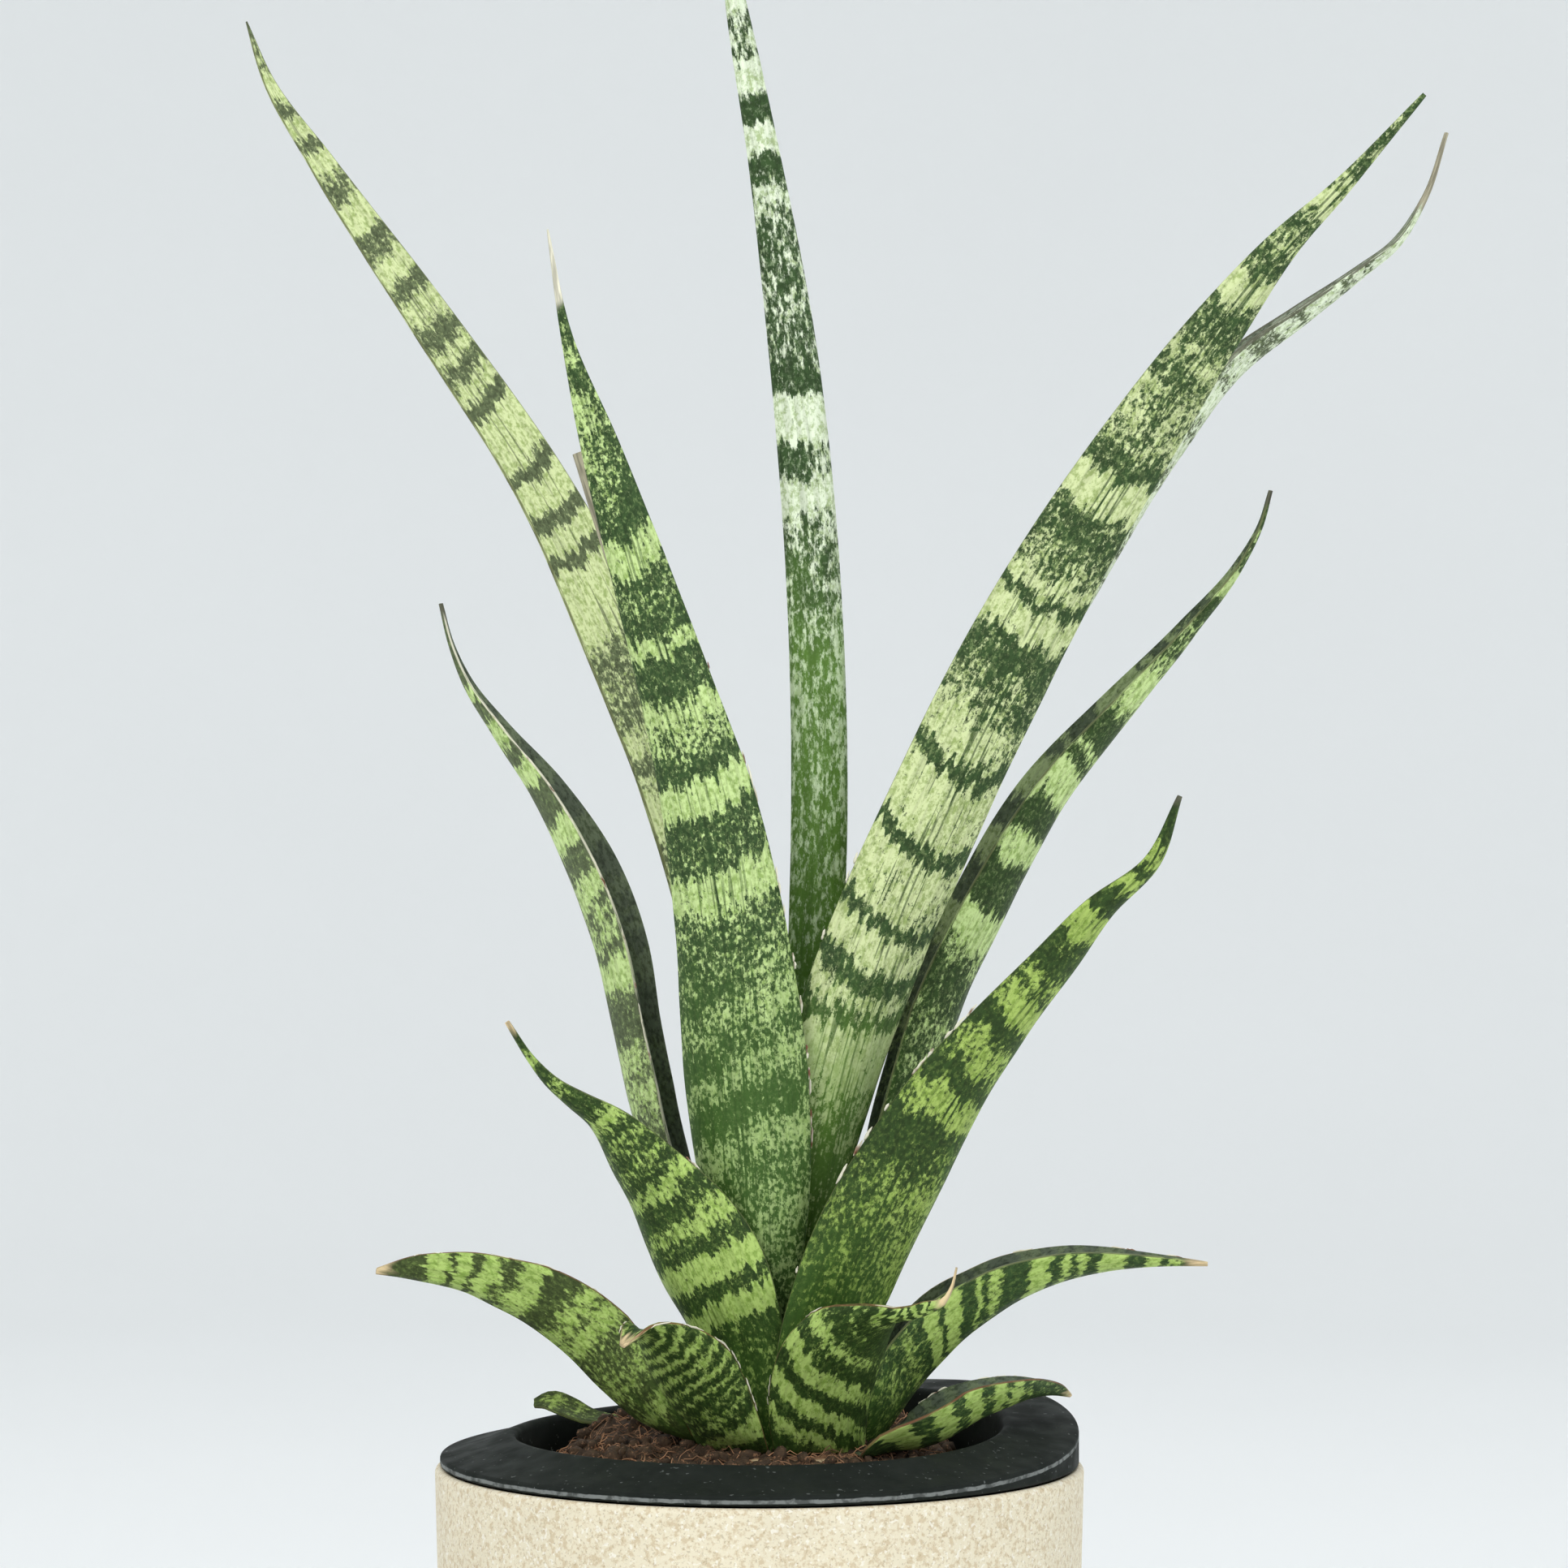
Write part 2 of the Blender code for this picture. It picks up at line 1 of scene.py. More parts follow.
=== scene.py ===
"""The looks of the potted snake plant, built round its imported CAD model.

Every piece is in metres, with +Z up and -Y to the front. The origin is the centre of the pot's flat bottom.
Leaf tables are in millimetres, and a height in them is measured from the top of the pot's wall.
"""

import math
import random
from dataclasses import dataclass

import bmesh
import bpy
import numpy as np
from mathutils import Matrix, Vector, noise


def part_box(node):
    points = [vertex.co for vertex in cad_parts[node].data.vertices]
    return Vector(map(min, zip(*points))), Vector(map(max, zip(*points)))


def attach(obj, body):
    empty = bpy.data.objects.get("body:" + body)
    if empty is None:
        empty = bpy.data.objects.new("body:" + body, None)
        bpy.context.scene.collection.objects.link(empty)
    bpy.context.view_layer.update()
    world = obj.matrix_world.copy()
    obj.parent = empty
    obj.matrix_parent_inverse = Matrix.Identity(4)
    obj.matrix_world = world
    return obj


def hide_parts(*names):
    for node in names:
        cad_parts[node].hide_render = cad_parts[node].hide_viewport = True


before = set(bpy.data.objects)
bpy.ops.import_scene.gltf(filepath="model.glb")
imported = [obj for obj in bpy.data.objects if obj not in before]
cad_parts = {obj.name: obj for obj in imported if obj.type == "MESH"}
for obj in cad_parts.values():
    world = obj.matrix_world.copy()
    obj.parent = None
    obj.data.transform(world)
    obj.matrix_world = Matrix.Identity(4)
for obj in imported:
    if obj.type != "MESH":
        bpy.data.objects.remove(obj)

bl_info = {
    "name": "Potted snake plant",
    "version": (1, 0, 0),
    "blender": (4, 5, 0),
    "location": "View3D > Sidebar > Snake plant",
    "description": "Builds a snake plant in a black grow liner and a cream pot round its packed model",
    "category": "Object",
}

MM = 0.001
POT_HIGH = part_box("outer_pot")[1]
LINER_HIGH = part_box("grow_liner")[1]
CROWN_LOW, CROWN_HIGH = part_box("root_crown")
RIM = POT_HIGH.z / MM
POT_RADIUS = POT_HIGH.x / MM
COLLAR_RADIUS = LINER_HIGH.x / MM
CROWN_X = (CROWN_LOW.x + CROWN_HIGH.x) / 2 / MM
CROWN_TOP = CROWN_HIGH.z / MM - RIM
CLEAR = 0.3  # between two pieces that touch

POT_FOOT_RADIUS = 62.0
POT_WALL = 2.5
POT_FLOOR = 4.0
POT_EDGE_ROUND = 4.0
POT_INNER_ROUND = 2.0

COLLAR_EDGE = 2.1
COLLAR_CREST_RADIUS = 50.5
COLLAR_CREST = 6.3
COLLAR_SKIN = 1.6
COLLAR_LIFT = 9.0
COLLAR_LIFT_AZIMUTH = 40.0
LINER_MOUTH_RADIUS = 48.5
LINER_FOOT_RADIUS = 38.0
LINER_WALL = 1.5
LINER_DEPTH = 90.0
LINER_NECK = 8.0
DRAIN_HOLES = 6
DRAIN_HOLE_RADIUS = 3.0
DRAIN_RING_RADIUS = 24.0
DRILL_DEPTH = 8.0

SOIL_TOP = 3.8
SOIL_BACK_RISE = 2.0
SOIL_HOLLOW_DEPTH = 11.0
SOIL_HOLLOW_START = 30.0
SOIL_RADIUS = LINER_MOUTH_RADIUS - 1.1
SOIL_RINGS = 72
SOIL_HEAP = 1.3
SOIL_HEAP_RADIUS = 24.0
SOIL_HEAP_Y = -2.0
SOIL_MOUND = 2.8
SOIL_MOUND_PLACE = (-27.0, 16.0)
SOIL_MOUND_REACH = (8.0, 6.0)
SOIL_LUMP_RATE = 0.28
SOIL_SETTLED = 0.35
SCATTER_SPAN = 47.0
GRAIN_SEED = 5
GRAIN_REACH = 46.6
FIBRE_SEED = 11
FIBRE_REACH = 46.8
GRAIN_SIZES = (0.5, 0.7, 0.9, 1.1, 1.4, 1.8)
FIBRE_RADII = (0.07, 0.09, 0.12, 0.15)
CROWN_RING_RATE = 4200  # radians per metre of height

RING_RADIUS = (0.0, 7.2, 10.8, 14.2, 17.4, 20.3)
FOLD_STEPS = 33
UPRIGHT_LENGTH = 16.0
MIDDLE_BASE_HALF_WIDTH = 4.0
TIP_CROWDING = 1.15
FADE_IN = 12.0
FACE_COLUMNS = 19
MARGIN_SHARE = 0.985
SPINE_LINE = 0.62

MERGE = 0.0005 * MM
STAGE_RADIUS = 2.4
STAGE_CORNER = 1.0
STAGE_HEIGHT = 3.0
STAGE_STEPS = 96
CAMERA_PLACE = (0.0049, -1.018, 0.2563)
CAMERA_LENS = 116.46
CAMERA_SENSOR = 36.0
LIGHT_AIM = (0, 0, 0.22)
AIR_COLOUR = (0.93, 0.96, 1.0, 1)
AIR_STRENGTH = 0.6
# Round area lights: name, place, width, power and colour.
LIGHTS = (
    ("key", (-0.9, -1.5, 1.4), 1.0, 14, (1.0, 0.985, 0.96)),
    ("fill", (1.3, -1.3, 0.8), 1.2, 8, (0.98, 0.99, 1.0)),
    ("top", (0.1, 0.3, 1.8), 1.2, 9, (1.0, 1.0, 1.0)),
)


def screen(red, green, blue):
    """The linear colour of one given as it shows on a screen, from 0 to 255."""
    shares = [channel / 255 for channel in (red, green, blue)]
    return tuple(((share + 0.055) / 1.055) ** 2.4 if share > 0.04 else share / 12.92 for share in shares)


@dataclass
class Leaf:
    """One leaf. Its rows are x, y, height above the rim and half width along the curve of the blade.

    azimuth and wrap place its base on a ring of the crown, in degrees. face is the azimuth that the outer
    face looks to, curl how far each margin turns in and thick the thickness at the midrib, at the base, the
    middle and the tip. keel nears 0 for a V folded at the midrib. roll turns the blade about its length.
    bands go up the leaf: a place, then how pale it is there, from 0, dark, to 100, pale, and so on.
    lean rows are a place, how far a band there rises to the right margin, and how far to both margins.
    patches are place, share across from -1 to 1, reach along, reach across, and how much paler, as a share; a
    negative share darkens, and some of these darker patches are painted shade.
    inner is how far the inner face turns grey, partly its own colour and partly painted shade, green_side the
    margin, -1 or 1, where dark bands turn a richer green, mottle how strongly the bands are mottled, jag how
    jagged they are, grain how short the flecks are along the leaf and spine how dark the two thin lines along
    the midrib are. foot is the green near the foot, tip the colour beyond the place named dry, margins the
    colours of the left and right margin, and edge the share across at which those start.
    """

    name: str
    slot: str
    ring: int
    azimuth: float
    wrap: float
    rows: tuple
    face: tuple
    curl: tuple
    thick: tuple
    keel: float
    roll: tuple
    pale: str
    dark: str
    low: tuple
    dry: float
    dashes: float
    bands: tuple
    lean: tuple = ((0, 0, 0),)
    patches: tuple = ()
    inner: float = 0.0
    green_side: float = 0.0
    mottle: float = 0.4
    jag: float = 1.0
    grain: float = 0.75
    spine: float = 0.0
    edge: float = 0.984
    foot: str = "base_green"
    tip: str = "dry_tan"
    margins: tuple = ("margin_olive", "margin_olive")


LEAVES = (
    Leaf(
        "leaf_middle_tall", "leaf_dark", 0, -90, 60,
        ((8.5, 1.5, 49, 4.6), (11, 2, 98, 5.4), (12, 3, 131, 5.6), (11.5, 3, 163, 5.5), (9.5, 4, 196, 5.3),
         (6, 5, 229, 4.7), (1, 6, 262, 3.3), (-5, 7, 295, 2.0), (-8, 8, 313, 0.45)),
        (-90, -90, -90), (12, 12, 12), (7.6, 9.4, 3.0), 1, (0, 0, 0),
        "pale_white", "dark_green", (150, 188), 306, 0.2,
        (0, 25, 60, 30, 115, 38, 135, 42, 155, 40, 170, 36, 180, 34, 184, 42, 187, 60, 189, 85, 192.5, 85,
         194.5, 40, 196, 20, 201, 15, 202.5, 100, 210, 100, 211.5, 12, 215, 15, 217, 36, 222, 40, 230, 44,
         238, 36, 246, 40, 249, 68, 253, 62, 254.5, 15, 259, 15, 260.5, 95, 265.5, 95, 267, 12, 272, 15,
         273.5, 90, 279, 90, 281, 20, 283, 80, 285.5, 40, 287, 70, 289, 15, 291, 80, 296, 80, 298, 20,
         306, 10),
        ((0, 0, 0),),
        ((165, 0.95, 30, 0.5, 0.2), (198, 0.7, 3, 0.5, 0.45), (130, -0.95, 40, 0.35, 0.12)),
        mottle=0.56, jag=0.7, grain=0.42, foot="base_bright",
    ),
    Leaf(
        "leaf_right_tall", "leaf_pale", 1, -50, 55,
        ((9.7, -6.2, 24, 7.0), (9.5, -7.6, 42, 7.6), (11.6, -9.6, 58, 9.6), (17.2, -12.5, 82, 11.4),
         (21, -14, 95, 11.9), (25.4, -15, 107, 11.6), (35.8, -17, 131, 11.2), (47.2, -20, 155, 10.9),
         (60, -22, 179, 9.8), (74.3, -25, 202, 8.4), (90.5, -28, 226, 5.8), (103, -30, 242, 3.4),
         (112, -31, 251, 2.1), (129, -35, 270, 0.4)),
        (-50, -72, -75), (55, 34, 26), (3.0, 3.4, 0.9), 1, (0, 0, 0),
        "pale_cream", "dark_green", (70, 100), 303, 0.8,
        (0, 30, 55, 38, 66, 48, 72, 60, 76, 88, 84.5, 95, 86, 20, 87.5, 25, 89, 75, 92, 80, 93.3, 15,
         95.5, 20, 97, 95, 102.5, 95, 104, 12, 105.5, 20, 107, 92, 118.5, 92, 120, 15, 121.8, 15, 123.3, 92,
         136, 92, 137.5, 12, 139.5, 20, 141, 85, 148, 82, 151, 55, 156, 50, 160, 42, 162, 25, 167, 22,
         169, 85, 174, 88, 175.5, 15, 177.3, 20, 178.6, 85, 180.8, 80, 182.2, 30, 184, 55, 186, 30, 188, 50,
         190, 28, 196, 30, 198.3, 90, 204.5, 90, 206.2, 15, 209.5, 22, 212, 40, 216, 50, 220, 40, 225, 50,
         231, 34, 234, 50, 238, 36, 243, 26, 246, 30, 248.5, 85, 252.5, 85, 255, 20, 258, 25, 263, 50,
         269, 30, 272, 85, 275, 80, 277, 35, 279, 80, 282, 30, 286, 55, 289, 20, 292, 60, 297, 20, 300, 50,
         304, 10),
        ((60, 0, 0), (86, 0, 2.5), (95, 0, 4.5), (104, -1, 4.5), (120, -1.2, 5.5), (138, 0, 6.5),
         (152, 0, 4), (166, 0.5, 2.5), (178, 0.5, 2.5), (210, 0.3, 1.5), (300, 0, 0)),
        ((148, 0.8, 10, 0.4, -0.25), (195, 0.8, 22, 0.4, -0.12), (108, 0.85, 30, 0.45, -0.2),
         (120, 0, 50, 2, -0.1), (215, 0, 34, 3, 0.08)),
        mottle=0.56, spine=0.75, foot="base_bright", tip="tip_grey",
    ),
    Leaf(
        "leaf_back_left_tall", "leaf_pale", 1, 130, 55,
        ((3, 8, 26, 6.6), (0.5, 11, 52, 7.0), (-5.5, 14, 90, 8.2), (-15.5, 17, 131, 8.6),
         (-28.7, 22, 164, 8.1), (-45.5, 27, 198, 6.2), (-67.5, 31, 231, 5.0), (-91, 35, 265, 2.8),
         (-102.5, 37, 283, 1.1), (-107, 38, 295, 0.15)),
        (130, 105, 100), (55, 32, 26), (3.0, 3.2, 0.9), 1, (0, 0, 0),
        "pale_cream", "dark_grey", (40, 90), 319, 0.7,
        (0, 20, 60, 20, 90, 40, 100, 80, 106, 30, 112, 85, 120, 30, 127, 85, 136, 60, 140, 30, 146, 70,
         150, 45, 153, 36, 157, 52, 161, 42, 164, 32, 167, 55, 170, 85, 173, 97, 183.5, 97, 184.8, 12,
         186.8, 12, 188.3, 92, 192, 92, 193.4, 22, 196.4, 20, 198, 90, 204, 95, 205.3, 12, 207.3, 20,
         209, 90, 220.5, 92, 222, 15, 224.3, 20, 226, 72, 229, 70, 231, 30, 233.5, 40, 236, 85, 238.5, 40,
         240.5, 20, 242.5, 35, 245, 70, 250, 70, 251.5, 20, 254, 30, 256, 88, 259, 85, 261, 40, 265, 26,
         267.5, 30, 269, 90, 274, 92, 276, 35, 280, 30, 282, 45, 283.5, 85, 287, 80, 288.5, 22, 291, 35,
         292.5, 88, 296, 80, 298, 22, 300.5, 38, 302, 88, 306, 80, 308, 25, 310, 60, 312, 35, 314.5, 60,
         317, 15, 321, 10),
        ((100, 0, 0), (165, -1, 0.5), (186, -1.5, 1), (222, -2, 1), (240, -0.5, 0.5), (319, 0, 0)),
        ((290, 0, 36, 3, 0.08),),
        jag=0.9, tip="tip_grey",
    ),
    Leaf(
        "leaf_front_tall", "leaf_dark", 2, -105, 38,
        ((1.8, -10.6, 16, 7.0), (0, -11.2, 28, 7.3), (-0.9, -13.4, 38, 9.0), (-1.2, -17, 51, 11.2),
         (-3, -20, 75, 13.3), (-6, -23, 107, 11.8), (-10, -25, 131, 10.1), (-16.5, -27, 155, 7.8),
         (-23.5, -29, 178, 6.0), (-31, -30, 202, 3.9), (-37.5, -32, 224, 1.0), (-41, -33, 244, 0.15)),
        (-105, -98, -95), (42, 40, 30), (3.0, 3.6, 0.9), 1, (0, 0, 0),
        "pale_lime", "dark_green", (66, 118), 232, 0.6,
        (0, 35, 40, 45, 48, 55, 54, 36, 60, 55, 64, 60, 67, 26, 71, 22, 75, 56, 78, 60, 81, 30, 84, 34,
         87, 55, 90, 52, 93, 30, 97, 45, 100, 34, 104, 42, 108, 40, 109.7, 80, 115.3, 82, 117, 30, 122, 34,
         128, 24, 129.2, 92, 134.2, 92, 135.5, 15, 139.3, 22, 141, 55, 146, 52, 147.5, 75, 150.7, 75,
         152, 25, 159.5, 20, 160.7, 82, 163.3, 85, 164.5, 22, 168, 26, 170, 42, 174, 42, 176, 22, 178.2, 85,
         182.4, 88, 184, 24, 188, 26, 191, 38, 194.5, 40, 196.5, 58, 203, 50, 206, 60, 213, 62, 215, 28,
         218, 30, 220, 66, 222.5, 55, 224.5, 25, 228, 42, 232, 15),
        ((40, 5, 0), (60, 5.5, 0), (80, 5.5, 0), (98, 4, 0), (112, 2, 2), (120, 2, 1.5), (135, 2, 1.5),
         (150, 0.5, 0.5), (163, 1, 1.5), (180, 1, 3), (200, 1, 3), (240, 0, 0)),
        ((92, 0.6, 10, 0.4, 0.12), (75, -0.8, 14, 0.4, -0.15), (202, 0.7, 16, 0.5, -0.25),
         (100, -0.5, 8, 0.5, -0.06)),
        mottle=0.58, spine=0.6, tip="margin_white", margins=("margin_olive", "margin_brown"),
    ),
    Leaf(
        "leaf_right_back_slim", "leaf_dark", 2, 40, 30,
        ((16, 8, 50, 5.5), (26, 12, 94, 7.0), (42, 14, 132, 8.0), (65.5, 16, 171.5, 8.5),
         (85.5, 18, 203.8, 8.2), (98.5, 19, 220.8, 6.8), (111.5, 20, 231, 5.2), (124, 21, 241, 3.0),
         (130, 21, 246, 2.2), (136.5, 22, 256.5, 1.0), (141, 24, 270, 0.45)),
        (40, 15, 10), (30, 64, 55), (2.8, 2.4, 0.9), 0.4, (0, 0, 0),
        "pale_white", "dark_grey", (60, 110), 288, 0.2,
        (0, 25, 60, 30, 100, 55, 120, 40, 138, 45, 143, 95, 147, 95, 149, 20, 151, 30, 153.5, 80, 157, 50,
         160, 30, 164, 12, 167, 40, 170, 85, 173, 85, 176, 15, 178.5, 30, 181, 75, 184, 40, 186, 30,
         188.5, 75, 192, 35, 196, 30, 200, 70, 205, 88, 208, 30, 211, 35, 214, 60, 216, 95, 219, 75,
         220.5, 10, 222.5, 60, 224.5, 25, 227, 85, 232, 75, 233.5, 10, 235, 50, 239, 70, 242, 25, 243.5, 10,
         245, 50, 247, 10, 249, 75, 252, 65, 254, 10, 256, 75, 262, 70, 265, 20, 267.5, 75, 271, 50,
         274, 80, 290, 80),
        ((0, 0, 0),),
        ((215, 0, 60, 3, 0.16),),
        inner=0.75, mottle=0.6, jag=0.7, edge=0.9, tip="tip_straw", margins=("tip_grey", "tip_grey"),
    ),
    Leaf(
        "leaf_hidden_slim", "leaf_dark", 2, 170, 20,
        ((-6, 0, 50, 3.6), (-11.5, -3, 100, 3.0), (-19.5, -4, 150, 1.6), (-30.4, -4, 184, 1.8),
         (-36.4, -4, 202.5, 1.2)),
        (170, 200, 236), (20, 35, 30), (2.6, 2.0, 0.9), 1, (0, 0, 0),
        "pale_lime", "dark_green", (60, 110), 160, 0.2,
        (0, 20, 60, 30, 80, 70, 95, 20, 110, 80, 125, 20, 140, 70, 150, 20, 162, 70, 170, 20, 200, 20),
        tip="tip_straw",
    ),
    Leaf(
        "leaf_right_channelled", "leaf_pale", 3, 10, 25,
        ((29.5, 3, 66, 11.4), (35.5, 4, 81, 13), (41.5, 5, 96, 13.6), (48.5, 6, 110, 13.8),
         (60.5, 8, 132, 12.2), (75.5, 10, 151.5, 8.2), (88, 12, 167, 4.6), (97.5, 13, 180, 2.0),
         (102, 14, 189, 0.8), (104, 15, 196, 0.45)),
        (2, 4, 18), (25, 64, 50), (2.8, 2.8, 0.9), 0.4, (0, 0, 0),
        "pale_lime", "dark_deep", (40, 90), 211, 0.3,
        (0, 15, 70, 20, 84, 35, 91, 15, 95, 30, 100, 45, 103.5, 85, 108, 88, 110, 20, 113, 12, 116, 30,
         119, 12, 121.5, 80, 125, 75, 127, 10, 131.5, 6, 134, 70, 137, 88, 140.5, 88, 142.5, 30, 144.5, 35,
         146.5, 65, 149, 15, 154, 12, 157, 60, 161, 70, 166, 88, 168.5, 35, 170.5, 70, 173.5, 25, 177, 65,
         179, 35, 181, 60, 183.5, 15, 187, 15, 189, 80, 193, 75, 195.5, 25, 198.5, 50, 201, 20, 204, 50,
         207, 12, 214, 10),
        ((80, 0, 2), (110, 0, 1.5), (140, 0, 1), (214, 0, 0)),
        ((75, 0, 26, 3, 0.12),),
        inner=0.6, tip="tip_grey",
    ),
    Leaf(
        "leaf_front_right_broad", "leaf_pale", 3, -52, 36,
        ((13.7, -15, 22, 11), (18.6, -18, 36, 12.7), (24, -21, 48.7, 12.8), (31, -24, 62.4, 11.5),
         (38.4, -27, 75.4, 9.8), (47.5, -30, 88, 7.7), (57.5, -33, 100.5, 5.8), (66, -36, 111.3, 4.1),
         (76, -39, 121, 2.1), (81, -42, 134, 0.45)),
        (-52, -64, -64), (36, 42, 36), (2.8, 3.2, 0.9), 1, (0, 0, 0),
        "pale_leaf", "dark_deep", (20, 66), 152, 0.5,
        (0, 25, 28, 35, 36, 40, 45, 42, 55, 48, 60, 45, 63, 26, 70, 22, 72.5, 80, 78, 80, 79.5, 20, 82, 25,
         84, 66, 91, 70, 92.5, 20, 95.5, 22, 97, 88, 102, 88, 103.5, 30, 105, 62, 108, 58, 109.5, 15,
         113, 22, 115, 42, 117, 20, 118.5, 88, 124, 90, 125, 10, 130, 10, 131, 85, 133.5, 85, 135.5, 15,
         137.5, 70, 143, 75, 144.5, 10, 153, 8),
        ((0, 0, 0), (70, -1.5, 1), (100, -1, 1), (150, 0, 0)),
        ((80, 0, 70, 2, -0.06), (88, -0.95, 34, 0.35, -0.25), (45, 0.6, 24, 0.6, 0.16),
         (88, 0.75, 22, 0.4, -0.1)),
        green_side=0.8, mottle=0.52, spine=1.0, tip="tip_grey",
    ),
    Leaf(
        "leaf_left_channelled", "leaf_pale", 3, 160, 25,
        ((-12.5, 6.5, 27, 6.4), (-18, 6, 50, 8.6), (-24.5, 6, 70, 9.8), (-28.5, 6.5, 87, 10.4),
         (-32, 7, 102, 11.8), (-37.5, 8, 117, 12.0), (-45.5, 9, 134, 8.2), (-54, 11, 147, 4.4),
         (-60, 13, 157, 2.0), (-63, 14, 165, 0.8), (-65, 15, 173, 0.45)),
        (174, 167, 166), (25, 64, 50), (2.8, 2.8, 0.9), 0.4, (0, 0, 0),
        "pale_lime", "dark_grey", (30, 66), 177, 0.3,
        (0, 15, 50, 20, 64, 45, 70, 60, 74, 45, 78, 60, 82, 35, 88, 25, 92, 40, 94.5, 85, 97.5, 88,
         99.5, 30, 101, 30, 103, 70, 105, 40, 107, 60, 109, 30, 111, 70, 114, 70, 116.5, 35, 119.5, 12,
         121.5, 20, 123.5, 85, 127.5, 82, 129.5, 30, 131.5, 8, 136, 8, 137.5, 85, 141, 90, 142.5, 20,
         144.5, 15, 147, 70, 151, 65, 153, 25, 156, 20, 158, 70, 160.5, 70, 162.5, 20, 180, 12),
        ((60, 0, 1), (110, 1, 2), (140, 0, 1), (180, 0, 0)),
        inner=0.9, tip="tip_grey", margins=("margin_olive", "margin_white"),
    ),
    Leaf(
        "leaf_front_left_broad", "leaf_pale", 3, -132, 38,
        ((-7, -14.3, 28, 12.9), (-10.5, -16, 36, 14.5), (-14, -17.5, 44, 14.2), (-18.2, -19, 52, 12.4),
         (-23, -21, 59.2, 10.0), (-30.7, -24, 69.8, 5.4), (-36, -25.5, 74, 3.4), (-40.5, -27, 77.8, 1.9),
         (-44, -28, 82, 1.0), (-49, -30, 90, 0.45)),
        (-132, -122, -122), (38, 42, 36), (2.8, 3.0, 0.9), 1, (0, 0, 0),
        "pale_yellow", "dark_deep", (10, 36), 100, 0.3,
        (0, 36, 18, 36, 24, 28, 25.5, 35, 26.8, 88, 30, 90, 31.3, 26, 34, 25, 35.5, 85, 39.5, 88, 41, 32,
         44, 34, 45.5, 70, 48, 62, 49.5, 30, 53.5, 32, 55, 75, 57.3, 72, 58.8, 26, 60.5, 40, 62.3, 58,
         64, 30, 66.5, 55, 69, 50, 70.5, 25, 72.5, 80, 74.5, 75, 76.5, 22, 82, 24, 84.5, 62, 86.5, 65,
         88, 20, 90, 20, 91.5, 75, 94, 70, 96, 20, 101, 10),
        ((0, 3, 0), (25, 3, -0.5), (40, 2.5, -0.5), (60, 2.5, 0), (75, 1, 0), (100, 0, 0)),
        ((50, -0.8, 40, 0.6, -0.14), (75, 0, 22, 2, -0.07)),
        green_side=-0.8, mottle=0.5, jag=0.8, spine=0.5,
    ),
    Leaf(
        "leaf_left_arching", "leaf_dark", 4, 178, 18,
        ((-25, -3, 11, 13.2), (-31, -4, 16.5, 14.4), (-36.5, -5, 22.3, 14.6), (-41.5, -6, 26.5, 14.3),
         (-47, -7, 30.3, 13.2), (-52.5, -8, 33.2, 11.4), (-58.5, -9, 36, 9.2), (-64, -10, 37.5, 7.2),
         (-69.5, -11, 38.5, 5.2), (-76, -12, 39.5, 1.0)),
        (178, 186, 186), (34, 68, 64), (2.6, 2.8, 0.9), 0.35, (0, 14, 14),
        "pale_yellow", "dark_olive", (2, 22), 73.5, 0.3,
        (0, 12, 9, 20, 12, 65, 14, 50, 16, 20, 19, 40, 23, 50, 27, 35, 29, 35, 31, 55, 33, 70, 35, 45,
         37, 70, 39, 45, 41.5, 20, 44.5, 18, 46, 65, 49, 75, 50.5, 50, 52.5, 25, 54, 50, 55, 92, 57, 70,
         58.3, 15, 59.5, 80, 61, 80, 62.3, 12, 63.5, 80, 66, 75, 67.3, 15, 71, 10, 76, 20),
        ((0, 0, 2), (30, 0, 1), (76, 0, 1)),
        ((30, 0, 60, 3, 0.02),),
        inner=0.8, jag=0.7, margins=("margin_olive", "margin_brown"),
    ),
    Leaf(
        "leaf_front_left_short", "leaf_dark", 4, -133, 31,
        ((-9.2, -20.3, 10.2, 10.0), (-13.2, -25.4, 17.6, 11.2), (-16.2, -30.5, 24, 10.6),
         (-19.8, -35.5, 28.8, 7.2), (-23.4, -39.5, 30.4, 3.8), (-26.2, -42, 28.2, 0.6)),
        (-130, -118, -118), (30, 46, 48), (2.6, 3.0, 0.9), 1, (0, 0, 0),
        "pale_yellow", "dark_deep", (-10, 8), 44.5, 0.1,
        (0, 20, 2, 50, 4, 70, 6, 50, 7.5, 20, 9, 25, 11, 55, 12.5, 20, 14.5, 50, 16, 15, 18, 60, 19.5, 15,
         21.5, 65, 23, 15, 25, 65, 26.7, 15, 28.5, 70, 30, 15, 32, 70, 33.7, 15, 35.5, 70, 37, 15, 39, 65,
         41, 20, 47, 30),
        ((0, 7, -1), (47, 7, -1)),
        ((5, 0.6, 5, 0.4, 0.25), (25, 0, 30, 1.5, 0.02)),
        mottle=0.42, jag=0.35, margins=("margin_brown", "margin_brown"),
    ),
    Leaf(
        "leaf_front_right_short", "leaf_dark", 4, -64, 34,
        ((13.4, -21, 12, 11.8), (15, -25.5, 19, 13.0), (17.6, -31, 26, 12.6), (21.4, -35, 30.8, 10.2),
         (24.8, -37.5, 32.8, 6.0), (28.8, -38.5, 33.6, 3.1), (32.6, -38.8, 34.8, 2.3),
         (35.8, -38.8, 36.6, 0.6), (37.2, -38.8, 39, 0.3), (38.2, -38.8, 43, 0.15)),
        (-64, -62, -60), (34, 48, 48), (2.6, 3.0, 0.9), 1, (0, 0, 0),
        "pale_yellow", "dark_deep", (-10, 8), 49.5, 0.1,
        (0, 50, 2.5, 85, 4.5, 20, 6.5, 20, 8.5, 85, 10.5, 85, 12.5, 15, 14.5, 15, 16.5, 80, 19.5, 80,
